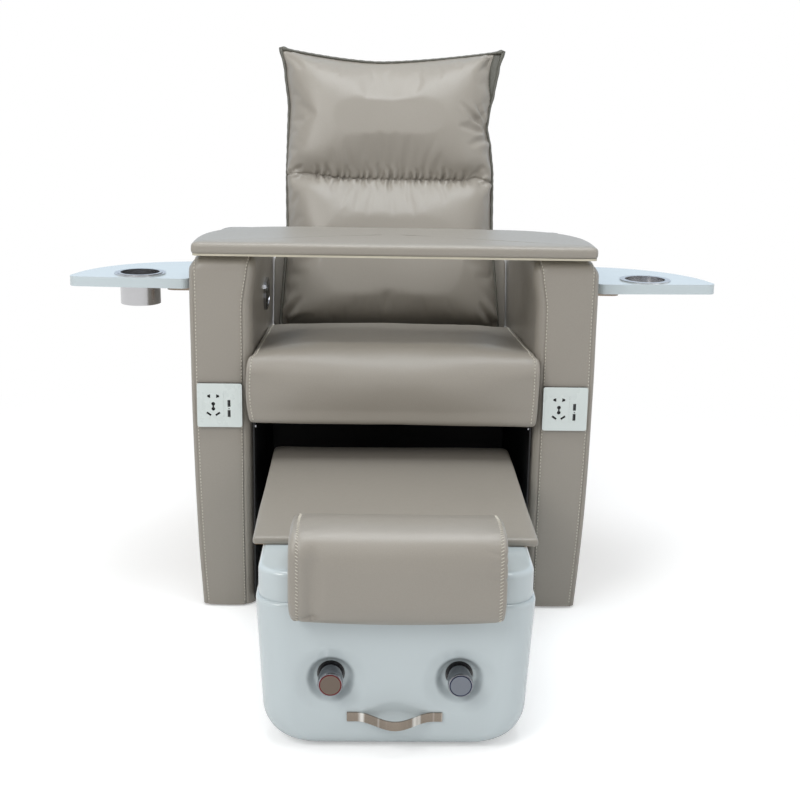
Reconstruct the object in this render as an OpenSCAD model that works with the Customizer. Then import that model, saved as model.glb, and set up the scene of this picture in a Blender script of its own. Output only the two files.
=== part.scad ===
// Pedicure chair: an upholstered armchair with a reclining back, a pull-out foot basin under its
// seat, a lap board on its arms and two swinging side trays. The front faces -Y, +Z is up, and
// the origin is on the floor in the middle of the chair's outer box.

/* [Arms] */
// Outer face of an arm from the middle plane
arm_out = 388; // [360:1:420]
// Inner face of an arm from the middle plane
arm_in = 270; // [262:1:290]
// Height of the arms
arm_h = 711; // [660:1:760]
// Depth of the arms
arm_d = 665; // [655:1:720]
// How far the outer face draws in at the floor
arm_draw = 14; // [0:1:30]
// How far the front draws back at the floor
arm_set = 16; // [0:1:30]
// Radius of the outer top edge
arm_outer_r = 36; // [10:1:45]
// Radius of the inner top edge
arm_inner_r = 26; // [10:1:40]
// How far the top roll leans over the seat
arm_roll = 8; // [0:1:12]
// Drop of the top towards the back
arm_drop = 72; // [30:1:110]
// Height of the glides under the arms
glide_h = 4; // [3:1:20]
// Radius of a glide
glide_r = 20; // [10:1:26]
// Thickness of the front panel's padding
panel_t = 6; // [4:0.5:12]
// Inset of the front panel's seams from the arm's outer edge
panel_in = 9; // [6:1:16]

/* [Seat] */
// Front face of the seat ahead of the arms
seat_over = 25; // [16:1:40]
// Height of the seat's top at the front
seat_top = 536; // [500:1:560]
// Height of the seat's lower front edge
seat_low = 389; // [380:1:395]
// Rear end of the seat cushion ahead of the arms' rear
seat_short = 211; // [209:1:235]
// Slope of the seat's top towards the back, in degrees
seat_slope = 4.6; // [0:0.1:8]
// Crown of the seat cushion
seat_crown = 7; // [0:1:20]
// Thickness of the seat board
seat_board_t = 12; // [8:1:18]
// Side of the square tubes of the frame
tube = 30; // [25:1:35]
// Wall of the square tubes
tube_wall = 2; // [1.5:0.5:3]
// Thickness of the panels that line the bay
lining = 3; // [2:0.5:4]
// Rear end of the bay under the seat ahead of the arms' rear
bay_short = 150; // [145:1:160]

/* [Backrest] */
// Lean of the backrest from upright, in degrees
lean = 17; // [10:1:22]
// Hinge of the backrest ahead of the arms' rear
hinge_short = 145; // [135:1:149]
// Height of the hinge
hinge_z = 440; // [440:1:450]
// Length of the backrest above the hinge
back_len = 670; // [560:1:720]
// Half of the cushion's width at its lower end
back_w_low = 252; // [235:1:256]
// Half of the cushion's width at its waist
back_w_mid = 232; // [215:1:250]
// Half of the cushion's width at its top
back_w_top = 253; // [230:1:256]
// Thickness of the back cushion
back_t = 90; // [70:1:110]
// Distance of the cushion's front face ahead of the hinge
back_ahead = 75; // [65:1:85]
// Height of the ruched seam above the hinge
seam_s = 369; // [320:1:420]
// Depth of the ruched seam
seam_depth = 12; // [5:1:25]
// Dip of the cushion's top edge between its corners
top_dip = 27; // [10:1:40]
// Thickness of the backrest's shell
shell_t = 37; // [30:1:45]
// Half of the shell's width
shell_w = 224; // [215:1:240]
// Radius of the hinge pins
hinge_r = 6; // [5:0.5:8]

/* [Recline drive] */
// Length of the crank from the hinge to the rod's pin
crank_len = 110; // [100:1:120]
// Angle of the crank above level with the back upright, in degrees
crank_up = 22; // [18:1:26]
// How far the backrest reclines, in degrees
recline_max = 45; // [30:1:45]
// Radius of the rod
rod_r = 10; // [8:0.5:12]
// Radius of the outer tube
drive_r = 18; // [16:0.5:22]
// Height of the drive's lower pin
drive_z = 62; // [55:1:75]

/* [Lap board] */
// Half of the board's width
board_w = 381; // [360:1:410]
// Front edge of the board ahead of the arms
board_over = 15; // [0:1:30]
// Rear edge of the board at its middle
board_back = 249; // [220:1:300]
// Thickness of the padded board
board_t = 22; // [16:1:30]
// Thickness of the base panel with its bead
bead_t = 4; // [3:0.5:6]

/* [Side trays] */
// Outer end of a tray from the middle plane
tray_out = 628; // [560:1:660]
// Gap between a tray and the arm
tray_gap = 7; // [5:0.5:12]
// Front edge of a tray behind the arm's front
tray_front = 60; // [40:1:100]
// Depth of a tray along the arm
tray_d = 225; // [180:1:260]
// Drop of a tray's top below the arm's top
tray_drop = 56; // [47:1:110]
// Thickness of a tray
tray_t = 19; // [15:1:26]
// Radius of a tray's corners
tray_r = 16; // [8:1:18]
// Middle of the cup ring from the middle plane
ring_x = 498; // [480:1:520]
// Middle of the cup ring behind the arm's front
ring_y = 122; // [115:1:140]
// Outer radius of the cup ring
ring_r = 50; // [46:1:54]
// Outer radius of the cup
cup_r = 39; // [30:1:42]
// Depth of the cup below the tray's top
cup_depth = 58; // [45:1:90]
// Wall of the cup
cup_wall = 1.2; // [0.8:0.1:2]

/* [Basin] */
// Half of the basin's width at its shoulder
basin_w = 223; // [205:1:230]
// Half of the basin's width near the floor
basin_w_low = 213; // [200:1:220]
// Front face of the basin ahead of the arms
basin_front = 561; // [540:1:580]
// Rear face of the basin behind the arms' front
basin_rear = 70; // [50:1:85]
// Gap between the basin's rim and the floor
basin_gap = 6; // [5:1:12]
// Height of the shoulder
shoulder_z = 250; // [235:1:262]
// Height of the deck
deck_z = 300; // [290:1:304]
// Inset of the deck's sides from the shoulder
deck_in = 4; // [2:0.5:8]
// Radius of the basin's upright edges
basin_r = 48; // [30:1:60]
// Radius of the lower side edges
basin_low_r = 60; // [40:1:70]
// Wall of the moulded casing
wall = 5; // [4:0.5:6]
// Half of the tub's width
tub_w = 172; // [150:1:180]
// Front end of the tub ahead of the arms
tub_front = 400; // [380:1:410]
// Rear end of the tub behind the arms' front
tub_rear = 45; // [30:1:50]
// Height of the tub's floor
tub_floor = 100; // [95:1:130]
// Radius of the tub's lower edges
tub_r = 55; // [30:1:70]
// Radius of the wheels
wheel_r = 18; // [16:1:20]
// Width of a wheel
wheel_w = 16; // [10:1:20]

/* [Lid] */
// Half of the lid's width
lid_w = 235; // [225:1:245]
// Front edge of the lid ahead of the arms
lid_front = 436; // [430:1:442]
// Rear edge of the lid behind the arms' front
lid_rear = 95; // [88:1:100]
// Thickness of the lid
lid_t = 14; // [12:1:18]
// Thickness of the lid's leather cover
cover_t = 4; // [3:0.5:5]

/* [Footrest] */
// Half of the footrest pad's width
pad_w = 168; // [140:1:185]
// Front of the pad ahead of the arms
pad_front = 606; // [600:1:620]
// Rear of the pad ahead of the arms
pad_rear = 452; // [450:1:470]
// Lower edge of the pad
pad_low = 234; // [220:1:250]
// Top of the pad at its front
pad_top = 378; // [360:1:382]
// Radius of the footrest's post
post_r = 11; // [9:0.5:14]
// Middle of the post ahead of the arms
post_y = 502; // [490:1:515]

/* [Taps and pull] */
// Middle of a tap from the middle plane
tap_x = 102; // [85:1:120]
// Height of the taps
tap_z = 125; // [118:1:145]
// Drop of a pocket's middle below its tap
pocket_drop = 4; // [0:1:6]
// Radius of the pocket round a tap
pocket_r = 42; // [38:1:50]
// Depth of the pocket
pocket_d = 18; // [12:1:24]
// Radius of a knob
knob_r = 20; // [16:0.5:24]
// Reach of a knob ahead of the basin's front
knob_reach = 26; // [20:1:43]
// Length of the pull
pull_len = 152; // [120:1:180]
// Height of the pull's middle
pull_z = 59; // [45:1:65]
// Height of the pull's strip
pull_h = 15; // [12:1:20]
// Bow of the pull
pull_bow = 32; // [24:1:40]
// Thickness of the pull's strip
pull_t = 3; // [2:0.5:4]

/* [Outlets and switch] */
// Side of an outlet plate
plate_w = 86; // [80:1:90]
// Thickness of an outlet plate
plate_t = 8; // [6:0.5:12]
// Middle of an outlet plate from the middle plane
plate_x = 332; // [331:0.5:334]
// Height of an outlet plate's middle
plate_z = 423; // [400:1:480]
// Middle of the switch behind the arm's front
switch_y = 340; // [300:1:380]
// Drop of the switch below the arm's top
switch_drop = 131; // [111:1:141]
// Length of the switch
switch_l = 110; // [90:1:120]
// Height of the switch's oval
switch_h = 62; // [50:1:66]
// How far the switch stands out
switch_t = 6; // [5:0.5:8]
// Travel of the switch's buttons
button_travel = 1.5; // [1:0.1:2]

/* [Clearances] */
// Radial clearance of a running fit
run = 0.05; // [0.02:0.01:0.1]
// Gap round a soft or loose piece
slack = 0.3; // [0.2:0.1:0.5]

/* [Hidden] */

leather = [0.58, 0.57, 0.53];
gloss_white = [0.9, 0.93, 0.94];
steel = [0.66, 0.65, 0.63];
black = [0.09, 0.09, 0.1];

// Depths measured from the arms' rear
seat_rear = arm_d - seat_short;
bay_rear = arm_d - bay_short;
hinge_y = arm_d - hinge_short;

// Rear extreme of the shell's top corner, which sets the middle of the outer box
shell_r = 14;
shell_rear = back_t - back_ahead + slack + shell_t;
rear_y = hinge_y + (back_len - 16 - shell_r) * sin(lean) + (shell_rear - shell_r) * cos(lean) + shell_r;
mid_y = (rear_y - pad_front) / 2;

// Heights that follow from each other
board_z = arm_h;
tray_top = arm_h - tray_drop;
switch_z = arm_h - switch_drop;
tray_low = tray_top - tray_t;
rail_top = seat_low + lining + tube;
board_seat_z = rail_top + seat_board_t;
tray_in = arm_out + tray_gap;
pivot_x = tray_in + tray_r + 13;
pivot_y = tray_front + tray_r + 12;
bracket_t = 5;
base_z = wheel_r * 2 + 7;
base_t = 6;
crank_y = hinge_y + crank_len * cos(crank_up);
crank_z = hinge_z + crank_len * sin(crank_up);
rear_wall_y = arm_d - 15;
rear_wall_top = hinge_z - 12;

function at(r, a) = [r * cos(a), r * sin(a)];
function arc(c, r, a0, a1, n = 8) = [for (i = [0:n]) c + at(r, a0 + (a1 - a0) * i / n)];
// Rectangle with the radii of its low left, low right, high right and high left corners
function box_points(x0, y0, x1, y1, r, n = 6) = concat(
  r[0] > 0 ? arc([x0 + r[0], y0 + r[0]], r[0], 180, 270, n) : [[x0, y0]],
  r[1] > 0 ? arc([x1 - r[1], y0 + r[1]], r[1], 270, 360, n) : [[x1, y0]],
  r[2] > 0 ? arc([x1 - r[2], y1 - r[2]], r[2], 0, 90, n) : [[x1, y1]],
  r[3] > 0 ? arc([x0 + r[3], y1 - r[3]], r[3], 90, 180, n) : [[x0, y1]]
);
function power(v, e) = sign(v) * pow(abs(v), e);

// Outlines drawn in plan, from the front or from the side, and given their third size
module plan(z0, z1) translate([0, 0, z0]) linear_extrude(z1 - z0) children();
module front(y0, y1) translate([0, y1, 0]) rotate([90, 0, 0]) linear_extrude(y1 - y0) children();
module side(x0, x1) translate([x0, 0, 0]) rotate([90, 0, 90]) linear_extrude(x1 - x0) children();
module block(a, b) translate(a) cube(b - a);
module rod_x(x0, x1, y, z, r) translate([x0, y, z]) rotate([0, 90, 0]) cylinder(h = x1 - x0, r = r, $fn = 48);
module rod_y(y0, y1, x, z, r) translate([x, y1, z]) rotate([90, 0, 0]) cylinder(h = y1 - y0, r = r, $fn = 48);
module rod_z(z0, z1, x, y, r) translate([x, y, z0]) cylinder(h = z1 - z0, r = r, $fn = 48);
module both_sides() { children(); mirror([1, 0, 0]) children(); }
// The frame's middle is moved to the origin
module placed() translate([0, -mid_y, 0]) children();
// The backrest's own frame, leaning back from the hinge
module leaning() placed() translate([0, hinge_y, hinge_z]) rotate([-lean, 0, 0]) children();

// A closed skin over a row of rings that all have the same number of points
function mean(rows) = [for (i = [0:2]) rows_sum([for (p = rows) p[i]]) / len(rows)];
function rows_sum(v, i = 0) = i == len(v) ? 0 : v[i] + rows_sum(v, i + 1);
module skin(rings) {
  n = len(rings[0]);
  m = len(rings);
  points = concat([for (r = rings) each r], [mean(rings[0]), mean(rings[m - 1])]);
  walls = [for (i = [0:m - 2], j = [0:n - 1]) let (a = i * n + j, b = i * n + (j + 1) % n)
    each [[a, b, b + n], [a, b + n, a + n]]];
  ends = [for (j = [0:n - 1]) let (k = (j + 1) % n, l = (m - 1) * n)
    each [[m * n, k, j], [m * n + 1, l + j, l + k]]];
  polyhedron(points, concat(walls, ends));
}

// Arms

// How far a curved face has drawn in at a height, from full at the floor to none at the top
function drawn(z, full, top) = z < top ? full * pow(1 - (z - glide_h) / (top - glide_h), 2) : 0;
arm_straight = 540;
front_straight = 330;
function arm_section(inset_out = 0, inset_in = 0, inset_top = 0) = let (
  ro = arm_outer_r - inset_top / 2,
  ri = arm_inner_r - inset_top / 2,
  top = arm_h - inset_top,
  xo = arm_out - inset_out,
  xi = arm_in + inset_in
) concat(
  [[xi, glide_h]],
  [for (i = [0:8]) let (z = glide_h + (arm_straight - glide_h) * i / 8)
    [xo - drawn(z, arm_draw, arm_straight), z]],
  arc([xo - ro, top - ro], ro, 0, 90, 8),
  arc([xi - arm_roll + ri, top - ri], ri, 90, 180, 8),
  [[xi, switch_z + switch_h / 2 + 4]]
);
function arm_front(z) = drawn(z, arm_set, front_straight);
function front_line(shift) = [for (i = [0:8]) let (z = glide_h + (front_straight - glide_h) * i / 8)
  [arm_front(z) + shift, z]];
front_r = 30;
rear_r = 45;
level_to = 385;
rear_top = arm_h - arm_drop;
arm_profile = concat(
  [for (i = [8:-1:0]) front_line(0)[i]],
  [[arm_d, glide_h]],
  arc([arm_d - rear_r, rear_top - rear_r], rear_r, 0, 62, 6),
  [for (i = [9:-1:0]) let (t = i / 9)
    [level_to + (arm_d - 60 - level_to) * t, arm_h - (arm_drop - 8) * t * t]],
  arc([front_r, arm_h - front_r], front_r, 90, 180, 6)
);
module arm_form() intersection() {
  front(-1, arm_d + 1) polygon(arm_section());
  side(arm_in - arm_roll - 1, arm_out + 1) polygon(arm_profile);
}
panel_proud = 1.5;
panel_seat = 17;
// The padded front panel between the two seams
module panel_form() intersection() {
  front(-panel_proud - 1, arm_set + panel_t + 1)
    polygon(arm_section(panel_in, panel_seat + arm_roll, panel_in));
  side(arm_in, arm_out) polygon(concat(
    front_line(-panel_proud),
    [[-panel_proud, arm_h], [panel_t - panel_proud, arm_h]],
    [for (i = [8:-1:0]) front_line(panel_t - panel_proud)[i]]
  ));
}
module arm() color(leather) placed() difference() {
  arm_form();
  panel_form();
}
module arm_panel() color(leather) placed() panel_form();
module right_arm() arm();
module left_arm() mirror([1, 0, 0]) arm();
module right_arm_panel() arm_panel();
module left_arm_panel() mirror([1, 0, 0]) arm_panel();
glide_x = (arm_in + arm_out - arm_draw) / 2;
module arm_glides() color(black) placed() both_sides() {
  for (y = [arm_set + glide_r + 20, arm_d - glide_r - 20]) rod_z(0, glide_h, glide_x, y, glide_r);
}

// Frame, seat and the bay under it

rail_z = seat_low + lining;
rail_in = arm_in - tube;
post_y0 = bay_rear + 2 * lining + 40;
hinge_plate_x = 214;
hinge_plate_t = 6;
swing_plate_x = hinge_plate_x - 9;
swing_plate_t = 6;
module tube_x(x0, x1, y, z) difference() {
  block([x0, y, z], [x1, y + tube, z + tube]);
  block([x0 - 1, y + tube_wall, z + tube_wall], [x1 + 1, y + tube - tube_wall, z + tube - tube_wall]);
}
module tube_y(y0, y1, x, z) difference() {
  block([x, y0, z], [x + tube, y1, z + tube]);
  block([x + tube_wall, y0 - 1, z + tube_wall], [x + tube - tube_wall, y1 + 1, z + tube - tube_wall]);
}
module tube_z(z0, z1, x, y) difference() {
  block([x, y, z0], [x + tube, y + tube, z1]);
  block([x + tube_wall, y + tube_wall, z0 - 1], [x + tube - tube_wall, y + tube - tube_wall, z1 + 1]);
}
hinge_bar_y = hinge_y - tube - 5;
module base_frame() color(black) placed() {
  both_sides() tube_y(2, post_y0, rail_in, rail_z);
  for (y = [4, seat_rear - tube - 6, hinge_bar_y]) tube_x(-rail_in, rail_in, y, rail_z);
  both_sides() tube_z(20, rail_top, rail_in, post_y0);
  tube_x(-rail_in, rail_in, post_y0, 20);
  // Plates that carry the hinge pins
  both_sides() side(hinge_plate_x, hinge_plate_x + hinge_plate_t) difference() {
    union() {
      polygon([[hinge_bar_y + 2, rail_top], [hinge_bar_y + tube - 2, rail_top], [hinge_y + 13, hinge_z - 4],
        [hinge_y - 13, hinge_z + 4]]);
      translate([hinge_y, hinge_z]) circle(r = 14, $fn = 48);
    }
    translate([hinge_y, hinge_z]) circle(r = hinge_r, $fn = 48);
  }
  // Forked bracket that holds the foot of the drive
  for (x = [-drive_r - 8, drive_r + 4]) side(x, x + 4) difference() {
    polygon([[post_y0 + tube, 20], [crank_y, drive_z - 16], [crank_y + 14, drive_z], [crank_y, drive_z + 14],
      [post_y0 + tube, 20 + tube]]);
    translate([crank_y, drive_z]) circle(r = hinge_r, $fn = 48);
  }
}
module seat_board() color([0.72, 0.58, 0.4]) placed()
  block([-rail_in - tube + 1, 2, rail_top], [rail_in + tube - 1, seat_rear - 6, board_seat_z]);

// The seat cushion is a row of upright sections from the front face to its rear end
seat_half = arm_in - slack;
seat_lobe = seat_half + 8;
function seat_z(y) = seat_top - (y + seat_over) * tan(seat_slope);
// Each row holds how far behind the front face it lies, its half width, and its two insets in height
seat_rows = [
  [0, seat_half - 26, 24, 42], [0.8, seat_half - 12, 10, 20], [4, seat_half, 3, 9], [9, seat_lobe - 2, 1, 4],
  [14, seat_lobe, 0, 1], [seat_over - 5, seat_lobe, 0, 0], [seat_over - 3, seat_lobe - 1, 0, 0]
];
// Behind it each row holds its share of the way back and its drop
seat_back_rows = [
  [0, 0], [0.06, 0], [0.2, 0], [0.36, 0], [0.52, 0], [0.68, 0], [0.84, 0], [0.95, 1], [0.985, 5], [1, 14]
];
function seat_ring(y, w, z0, z1) = [for (j = [0:39]) let (
  a = 360 * (j + 0.5) / 40,
  c = power(cos(a), 0.24),
  s = power(sin(a), 0.24),
  up = s > 0 ? seat_crown * (1 - c * c) : 0
) [w * c, y, (z0 + z1) / 2 + (z1 - z0) / 2 * s + up]];
module seat_cushion() color(leather) placed() skin(concat(
  [for (r = seat_rows) let (y = r[0] - seat_over)
    seat_ring(y, r[1], seat_low + r[2], seat_z(y) - r[3] - seat_crown)],
  [for (r = seat_back_rows) let (y = (seat_rear - 0.5) * r[0] + 0.5)
    seat_ring(y - 2.2 * (1 - r[0]), seat_half - 0.2, board_seat_z + slack, seat_z(y) - r[1] - seat_crown)]
));

module bay_sides() color(black) placed() both_sides()
  block([arm_in - lining, 6, 20], [arm_in, bay_rear, seat_low - 1]);
module bay_ceiling() color(black) placed()
  block([-arm_in + 0.5, 2, seat_low - 1], [arm_in - 0.5, bay_rear + lining, rail_z]);
// Holes that the water and drain hoses pass through, in the bay's back and in the rear panel
hose_x = [-tap_x, -60, tap_x];
hose_hole_r = 18;
module bay_back() color(black) placed() difference() {
  block([-arm_in + 0.5, bay_rear, 20], [arm_in - 0.5, bay_rear + lining, seat_low - 1]);
  for (x = hose_x) rod_y(bay_rear - 1, bay_rear + lining + 1, x, pipe_z, hose_hole_r);
}
module bay_screws() color(steel) placed() both_sides()
  for (y = [16, bay_rear - 20]) rod_x(arm_in - lining - 3, arm_in - lining, y, seat_low - 12, 5);

// Outlets on the arms

insert_w = 40;
insert_h = 50;
usb_w = 20;
fit = 0.1;
window_x = -32;
usb_x = window_x + insert_w + usb_w / 2;
plate_back = -panel_proud;
plate_front = plate_back - plate_t;
window_back = plate_back - 1;
slot_back = plate_back - 2.5;
plate_half = plate_w / 2;
plate_r = 4;
module plate_body() difference() {
  front(plate_front, plate_back)
    polygon(box_points(-plate_half, -plate_half, plate_half, plate_half, [for (i = [0:3]) plate_r]));
  block([window_x, plate_front - 1, -insert_h / 2], [window_x + insert_w + usb_w, window_back, insert_h / 2]);
}
module slot(x, z, w, h)
  block([x - w / 2, plate_front - 1, z - h / 2], [x + w / 2, slot_back, z + h / 2]);
module pin_hole(x, z, r) rod_y(plate_front - 1, slot_back, x, z, r);
module insert_body() difference() {
  block([window_x + fit, plate_front, -insert_h / 2 + fit],
    [window_x + insert_w - fit, window_back, insert_h / 2 - fit]);
  translate([window_x + insert_w / 2, 0, 0]) {
    // A pair of holes for flat and round pins, a long keyhole, and two splayed slots below
    for (k = [-1, 1]) {
      pin_hole(k * 9, 18, 2.6);
      slot(k * 6.8, 18, 2.2, 7);
      translate([k * 8.5, 0, -17]) rotate([0, k * 55, 0]) slot(0, 0, 4, 10);
    }
    for (z = [-7, 3]) pin_hole(0, z, 3.6);
    slot(0, -2, 3, 12);
  }
}
module usb_body() difference() {
  block([window_x + insert_w + fit, plate_front, -insert_h / 2 + fit],
    [window_x + insert_w + usb_w - fit, window_back, insert_h / 2 - fit]);
  // Each port has its tongue left standing
  for (z = [-16, 4]) difference() {
    slot(usb_x, z, 5.6, 13.4);
    slot(usb_x - 0.9, z, 1.8, 11);
  }
  pin_hole(usb_x, -6.5, 1.2);
}
module at_outlet(k) placed() translate([k * plate_x, 0, plate_z]) children();
module left_outlet_plate() color(gloss_white) at_outlet(-1) plate_body();
module right_outlet_plate() color(gloss_white) at_outlet(1) plate_body();
module left_outlet_insert() color(gloss_white) at_outlet(-1) insert_body();
module right_outlet_insert() color(gloss_white) at_outlet(1) insert_body();
module usb_ports() color(gloss_white) for (k = [-1, 1]) at_outlet(k) usb_body();

// Switch on the left arm's inner face

button_w = 30;
button_h = 26;
button_t = 3;
function oval(l, h, n = 10) = concat(
  arc([l / 2 - h / 2, 0], h / 2, -90, 90, n),
  arc([-l / 2 + h / 2, 0], h / 2, 90, 270, n)
);
switch_x = -arm_in;
rim = 5;
module at_switch() placed() translate([switch_x, switch_y, switch_z]) children();
module switch_bezel() color([0.8, 0.8, 0.8]) at_switch() difference() {
  side(0, switch_t) polygon(oval(switch_l, switch_h));
  side(1, switch_t + 1) polygon(oval(switch_l - 2 * rim, switch_h - 2 * rim));
}
button_y = 19;
module switch_face() color(black) at_switch() difference() {
  side(1, switch_t - 1) polygon(oval(switch_l - 2 * rim - 0.2, switch_h - 2 * rim - 0.2));
  for (k = [-1, 1]) side(2, switch_t) translate([k * button_y, 0]) button_outline(slack);
}
module button_outline(g)
  polygon(box_points(-button_w / 2 - g, -button_h / 2 - g, button_w / 2 + g, button_h / 2 + g, [4, 4, 4, 4]));
module button(k) color([0.3, 0.3, 0.32]) at_switch() translate([2 + button_travel, k * button_y, 0])
  side(0, button_t) button_outline(0);
module recline_button() button(1);
module upright_button() button(-1);

// Rear of the chair and the recline drive

rear_panel_t = 8;
inlet_x = 180;
inlet_z = 90;
inlet_w = 28;
inlet_h = 22;
module rear_panel() color(black) placed() difference() {
  block([-arm_in + 0.5, rear_wall_y, 20], [arm_in - 0.5, rear_wall_y + rear_panel_t, rear_wall_top]);
  block([inlet_x - inlet_w / 2, rear_wall_y - 1, inlet_z - inlet_h / 2],
    [inlet_x + inlet_w / 2, rear_wall_y + rear_panel_t + 1, inlet_z + inlet_h / 2]);
  for (x = hose_x) rod_y(rear_wall_y - 1, rear_wall_y + rear_panel_t + 1, x, pipe_z, hose_hole_r);
}
module mains_inlet() color([0.15, 0.15, 0.16]) placed() difference() {
  union() {
    block([inlet_x - inlet_w / 2 + 0.2, rear_wall_y - 18, inlet_z - inlet_h / 2 + 0.2],
      [inlet_x + inlet_w / 2 - 0.2, rear_wall_y + rear_panel_t, inlet_z + inlet_h / 2 - 0.2]);
    block([inlet_x - inlet_w / 2 - 9, rear_wall_y + rear_panel_t, inlet_z - inlet_h / 2 - 3],
      [inlet_x + inlet_w / 2 + 9, rear_wall_y + rear_panel_t + 3, inlet_z + inlet_h / 2 + 3]);
  }
  difference() {
    block([inlet_x - 11, rear_wall_y - 8, inlet_z - 8],
      [inlet_x + 11, rear_wall_y + rear_panel_t + 4, inlet_z + 8]);
    // Its three blades
    for (p = [[-7, -2], [0, 2], [7, -2]]) translate([inlet_x + p[0], rear_wall_y, inlet_z + p[1]])
      block([-1, -9, -2.5], [1, 4, 2.5]);
  }
}
module control_box() color([0.2, 0.2, 0.21]) placed()
  front(post_y0 - 38, post_y0) polygon(box_points(-232, 20, -142, 110, [4, 4, 4, 4]));
module hinge_pins() color(steel) placed() both_sides() {
  rod_x(swing_plate_x - 3, hinge_plate_x + hinge_plate_t + 4, hinge_y, hinge_z, hinge_r - run);
  rod_x(swing_plate_x - 6, swing_plate_x - 0.5, hinge_y, hinge_z, hinge_r + 4);
  rod_x(hinge_plate_x + hinge_plate_t, hinge_plate_x + hinge_plate_t + 4, hinge_y, hinge_z, hinge_r + 4);
}
tube_low = drive_z + 40;
stroke = crank_len * (sin(crank_up) + sin(recline_max - crank_up));
tube_high = crank_z - stroke - 44;
gear_z = drive_z + 24;
module actuator_housing() color([0.16, 0.16, 0.17]) placed() difference() {
  union() {
    // Gearbox on its trunnion, with the motor beside it and the outer tube above
    block([-drive_r - 3.6, crank_y - 20, drive_z - 12], [drive_r + 3.6, crank_y + 20, tube_low + 12]);
    rod_z(tube_low, tube_high, 0, crank_y, drive_r);
    rod_z(gear_z, gear_z + 130, 58, crank_y, 22);
    block([drive_r, crank_y - 18, gear_z], [58, crank_y + 18, tube_low + 10]);
    rod_x(-drive_r - 8, drive_r + 8, crank_y, drive_z, hinge_r - run);
  }
  rod_z(tube_low + 8, tube_high + 1, 0, crank_y, rod_r + run);
}
eye_t = 26;
eye_slot = crank_len * (1 - cos(crank_up));
pin_r = 5;
eye_play = 1.1;
module actuator_rod() color(steel) placed() difference() {
  union() {
    rod_z(tube_low + 28 + stroke, crank_z, 0, crank_y, rod_r);
    side(-eye_t / 2, eye_t / 2)
      polygon(box_points(crank_y - 15, crank_z - 14, crank_y + eye_slot + 16, crank_z + 14, [6, 6, 6, 6]));
  }
  side(-eye_t, eye_t) translate([crank_y + eye_slot / 2, crank_z])
    polygon(oval(eye_slot + 2 * pin_r + 2 * eye_play, 2 * pin_r + 2 * eye_play));
}

// Backrest, drawn upright in its own leaning frame: y runs back, z runs up from the hinge

back_s0 = 40;
shell_s = 60;
shell_front = back_t - back_ahead + slack;
arm_bar_s = 330;
bar_front = shell_front + 4;
bar_rear = shell_rear - 6;
low_tube = [26, 12];
crank_s = crank_len * sin(crank_up + lean);
crank_t = crank_len * cos(crank_up + lean);
tube_r = 10;
module backrest_frame() color(black) leaning() {
  // Swinging side plates from the hinge into the shell
  both_sides() side(swing_plate_x, swing_plate_x + swing_plate_t) difference() {
    union() {
      circle(r = 15, $fn = 48);
      polygon([[-14, 5], [-12, -8], [8.6, -12.3], [low_tube[0] + 5.7, low_tube[1] - 8.2], [bar_rear, 40],
        [bar_rear, arm_bar_s], [bar_front, arm_bar_s], [bar_front, back_s0 - 3]]);
    }
    circle(r = hinge_r, $fn = 48);
  }
  rod_x(-swing_plate_x - 1, swing_plate_x + 1, low_tube[0], low_tube[1], tube_r);
  // Crank plates and the pin that works in the rod's eye
  both_sides() side(eye_t / 2 + 1, eye_t / 2 + 7) {
    polygon([[low_tube[0] - 4, low_tube[1] + 9], [low_tube[0] + 6, low_tube[1] - 9], [crank_t + 7, crank_s - 9],
      [crank_t - 6, crank_s + 8]]);
    translate([crank_t, crank_s]) circle(r = 11, $fn = 48);
  }
  rod_x(-eye_t / 2 - 3, eye_t / 2 + 3, crank_t, crank_s, pin_r);
}
module backrest_shell() color([0.5, 0.49, 0.45]) leaning() difference() {
  intersection() {
    side(-shell_w, shell_w) polygon(box_points(shell_front, shell_s, shell_rear, back_len - 16,
      [4, shell_r, shell_r, 4]));
    front(0, shell_rear + 1) polygon(box_points(-shell_w, shell_s, shell_w, back_len - 16, [30, 30, 40, 40]));
  }
  // Slots for the side plates
  both_sides() block([swing_plate_x - slack, bar_front - slack, 0],
    [swing_plate_x + swing_plate_t + slack, bar_rear + slack, arm_bar_s + slack]);
}
// The cushion is a row of level sections: wide at both ends, drawn in at its waist
cushion_len = back_len - back_s0;
waist = 0.45;
function smooth(a, b, t) = let (u = min(1, max(0, t))) a + (b - a) * u * u * (3 - 2 * u);
function back_half(s) = let (u = (s - back_s0) / cushion_len)
  u < waist ? smooth(back_w_low, back_w_mid, u / waist)
    : smooth(back_w_mid, back_w_top, (u - waist) / (1 - waist));
function seam(s) = seam_depth * exp(-pow((s - seam_s) / 20, 2));
// Padding swells between the seam and the ends
back_swell = 14;
function crown(s) = let (
  u = s < seam_s ? (s - back_s0) / (seam_s - back_s0) : (s - seam_s) / (back_len - seam_s)
) back_swell * sqrt(max(0, sin(180 * u)));
back_core = back_t - back_swell;
function back_ring(s, k) = let (w = back_half(s) - 10 * (1 - k), d = back_core * k)
  [for (j = [0:43]) let (
    a = 360 * (j + 0.5) / 44,
    c = power(cos(a), 0.42),
    t = power(sin(a), 0.5),
    rise = pow(max(0, (s - seam_s) / (back_len - seam_s)), 3)
  ) [
    w * c,
    t < 0 ? back_t - back_ahead - back_core / 2 + t * (d / 2 + (crown(s) - seam(s)) * pow(1 - c * c, 0.5))
      : back_t - back_ahead - back_core / 2 + t * d / 2,
    s - top_dip * (1 - c * c) * rise
  ]];
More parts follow.
